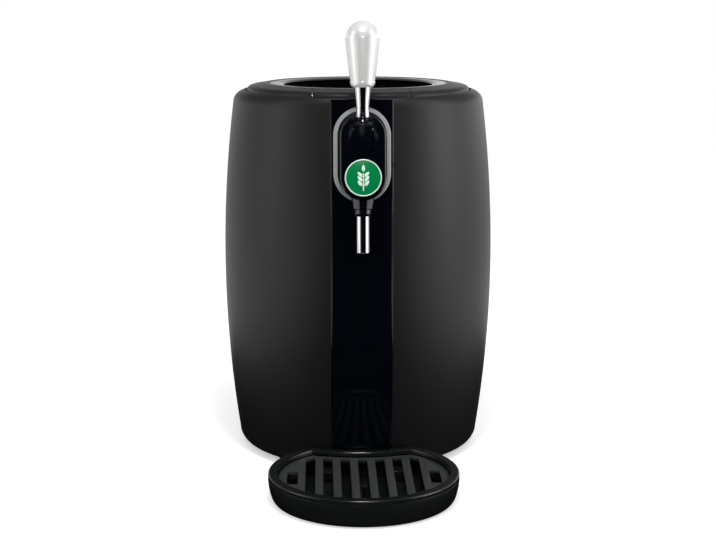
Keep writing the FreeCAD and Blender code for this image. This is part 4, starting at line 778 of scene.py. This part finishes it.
def wall_ramp(tree, round_share, stops):
    ramp = node(tree, "ValToRGB")
    elements = ramp.color_ramp.elements
    while len(elements) < len(stops):
        elements.new(1.0)
    for element, (place, level) in zip(elements, stops):
        element.position = place
        element.color = (level / ROOM_PEAK,) * 3 + (1.0,)
    link(tree, round_share, ramp.inputs["Fac"])
    return math_node(tree, "MULTIPLY", ramp.outputs["Color"], ROOM_PEAK)


def overhead_share(tree, way):
    """What is left of the walls' light in that direction: less and less towards overhead."""
    height = node(tree, "SeparateXYZ")
    link(tree, way, height.inputs["Vector"])
    fade = node(tree, "MapRange", interpolation_type="SMOOTHSTEP")
    link(tree, height.outputs["Z"], fade.inputs["Value"])
    low, high = CEILING_RISE
    for socket, value in (("From Min", low), ("From Max", high), ("To Min", 1.0),
                          ("To Max", CEILING)):
        fade.inputs[socket].default_value = value
    return fade.outputs["Result"]


def studio_world(settings):
    """White to the camera; to gloss a studio that is dark in front and overhead and brighter to
    the right; even to everything else."""
    world = bpy.data.worlds.new("studio")
    bpy.context.scene.world = world
    world.use_nodes = True
    world.cycles.sampling_method = "NONE"    # so that gloss sees only the studio made for it
    tree = world.node_tree
    background = tree.nodes["Background"]
    background.inputs["Color"].default_value = (1.0, 1.0, 1.0, 1.0)
    way = node(tree, "TexCoord").outputs["Generated"]
    flat = node(tree, "VectorMath", operation="MULTIPLY")
    link(tree, way, flat.inputs[0])
    flat.inputs[1].default_value = (1.0, 1.0, 0.0)
    level_way = node(tree, "VectorMath", operation="NORMALIZE")
    link(tree, flat.outputs["Vector"], level_way.inputs[0])
    direction = node(tree, "SeparateXYZ")
    link(tree, level_way.outputs["Vector"], direction.inputs["Vector"])
    round_share = math_node(tree, "MULTIPLY_ADD", direction.outputs["Y"], 0.5, 0.5)
    rightward = math_node(tree, "MULTIPLY_ADD", direction.outputs["X"], SIDE_BLEND, 0.5)
    rightward = math_node(tree, "MINIMUM", math_node(tree, "MAXIMUM", rightward, 0.0), 1.0)
    walls = mixed_value(tree, rightward, wall_ramp(tree, round_share, LEFT_WALL),
                        wall_ramp(tree, round_share, RIGHT_WALL))
    studio = math_node(tree, "MULTIPLY", walls, overhead_share(tree, way))
    rays = node(tree, "LightPath").outputs
    mirror = math_node(tree, "MAXIMUM", rays["Is Glossy Ray"], rays["Is Transmission Ray"])
    level = mixed_value(tree, mirror, settings.room_level, studio)
    link(tree, mixed_value(tree, rays["Is Camera Ray"], level, 1.0),
         background.inputs["Strength"])


def floor_material(settings):
    """Pale paper that glows a little to the camera, so that it meets the white behind it."""
    material = new_material("floor paper", {"Base Color": (settings.floor_tone,) * 3,
                                            "Roughness": 0.9, "Specular IOR Level": 0.1})
    tree = material.node_tree
    glow = math_node(tree, "MULTIPLY", node(tree, "LightPath").outputs["Is Camera Ray"],
                     settings.floor_glow)
    grey = node(tree, "CombineColor")
    for channel in ("Red", "Green", "Blue"):
        link(tree, glow, grey.inputs[channel])
    surface = surface_of(material)
    surface.inputs["Emission Strength"].default_value = 1.0
    link(tree, grey.outputs["Color"], surface.inputs["Emission Color"])
    return material


def soft_box(name, place, target, size, power):
    light = bpy.data.lights.new(name, "AREA")
    light.shape = "RECTANGLE"
    light.size, light.size_y = size
    light.energy = power
    lamp = bpy.data.objects.new(name, light)
    bpy.context.scene.collection.objects.link(lamp)
    lamp.location = place
    lamp.rotation_euler = (Vector(target) - Vector(place)).to_track_quat("-Z", "Y").to_euler()
    return lamp


def dark_flag(name, place, size, turn, cloth):
    """A black card that only reflections see: it keeps the gloss dark in the middle."""
    bpy.ops.mesh.primitive_plane_add(size=1.0, location=place, rotation=turn)
    flag = bpy.context.active_object
    flag.name = name
    flag.scale = (*size, 1.0)
    flag.data.materials.append(cloth)
    for kind in ("camera", "diffuse", "shadow", "transmission", "volume_scatter"):
        setattr(flag, "visible_" + kind, False)


class DISPENSER_OT_stage(bpy.types.Operator):
    """Sets up the floor, the studio lights and the camera"""
    bl_idname = "dispenser.stage"
    bl_label = "Studio"

    def execute(self, context):
        deselect_all()
        settings = context.scene.dispenser_stage
        context.scene.view_settings.view_transform = "Standard"
        studio_world(settings)
        bpy.ops.mesh.primitive_plane_add(size=settings.floor_side)
        floor = context.active_object
        floor.name = "stage_floor"
        floor.data.materials.append(floor_material(settings))
        cloth = new_material("flag cloth", {"Base Color": (0.003, 0.003, 0.004),
                                            "Roughness": 1.0, "Specular IOR Level": 0.0})
        dark_flag("stage_front_flag", *FRONT_FLAG, cloth)
        dark_flag("stage_floor_flag", *FLOOR_FLAG, cloth)
        self.add_lights(settings)
        self.add_camera(context, settings)
        return {"FINISHED"}

    def add_lights(self, settings):
        soft_box("key_box", (1.0, -0.35, 0.65), BODY_TARGET, SIDE_BOX, settings.key_power)
        soft_box("fill_box", (-1.0, -0.35, 0.65), BODY_TARGET, SIDE_BOX, settings.fill_power)
        overhead = soft_box("top_box", (0.0, -0.1, 1.3), (0.0, 0.0, 0.3), (0.9, 0.9),
                            settings.top_power)
        overhead.visible_glossy = False
        soft_box("spark_box", (0.0, -1.0, 0.6), (0.0, -0.104, 0.42), (0.10, 0.08),
                 settings.spark_power)
        soft_box("glint_box", (0.0, -0.37, 0.95), (0.0, -0.22, 0.05), (0.14, 0.05),
                 settings.glint_power)

    def add_camera(self, context, settings):
        camera = bpy.data.cameras.new("camera")
        camera.lens = settings.camera_lens
        camera.sensor_width = 36.0
        eye = bpy.data.objects.new("camera", camera)
        context.scene.collection.objects.link(eye)
        eye.location = settings.camera_place
        eye.rotation_euler = (math.radians(90.0) - settings.camera_dip, 0.0,
                              -settings.camera_turn)
        context.scene.camera = eye


class DISPENSER_PT_panel(bpy.types.Panel):
    """Sidebar panel with one button for each step"""
    bl_idname = "DISPENSER_PT_panel"
    bl_label = "Mini keg dispenser"
    bl_space_type = "VIEW_3D"
    bl_region_type = "UI"
    bl_category = "Dispenser"

    def draw(self, context):
        for step in STEPS:
            self.layout.operator(step.bl_idname)
        for group in (context.scene.dispenser_colours, context.scene.dispenser_sizes,
                      context.scene.dispenser_stage):
            box = self.layout.box()
            for name in group.__annotations__:
                box.prop(group, name)


GROUPS = (DispenserColours, DispenserSizes, DispenserStage)
STEPS = (DISPENSER_OT_finishes, DISPENSER_OT_casing, DISPENSER_OT_strip, DISPENSER_OT_badge,
         DISPENSER_OT_lever, DISPENSER_OT_stage)
CLASSES = (*GROUPS, *STEPS, DISPENSER_PT_panel)


def register():
    for item in CLASSES:
        bpy.utils.register_class(item)
    bpy.types.Scene.dispenser_colours = PointerProperty(type=DispenserColours)
    bpy.types.Scene.dispenser_sizes = PointerProperty(type=DispenserSizes)
    bpy.types.Scene.dispenser_stage = PointerProperty(type=DispenserStage)


def unregister():
    del bpy.types.Scene.dispenser_stage
    del bpy.types.Scene.dispenser_sizes
    del bpy.types.Scene.dispenser_colours
    for item in reversed(CLASSES):
        bpy.utils.unregister_class(item)


def main():
    register()
    for step in STEPS:
        area, name = step.bl_idname.split(".")
        getattr(getattr(bpy.ops, area), name)()


if __name__ == "__main__":
    main()
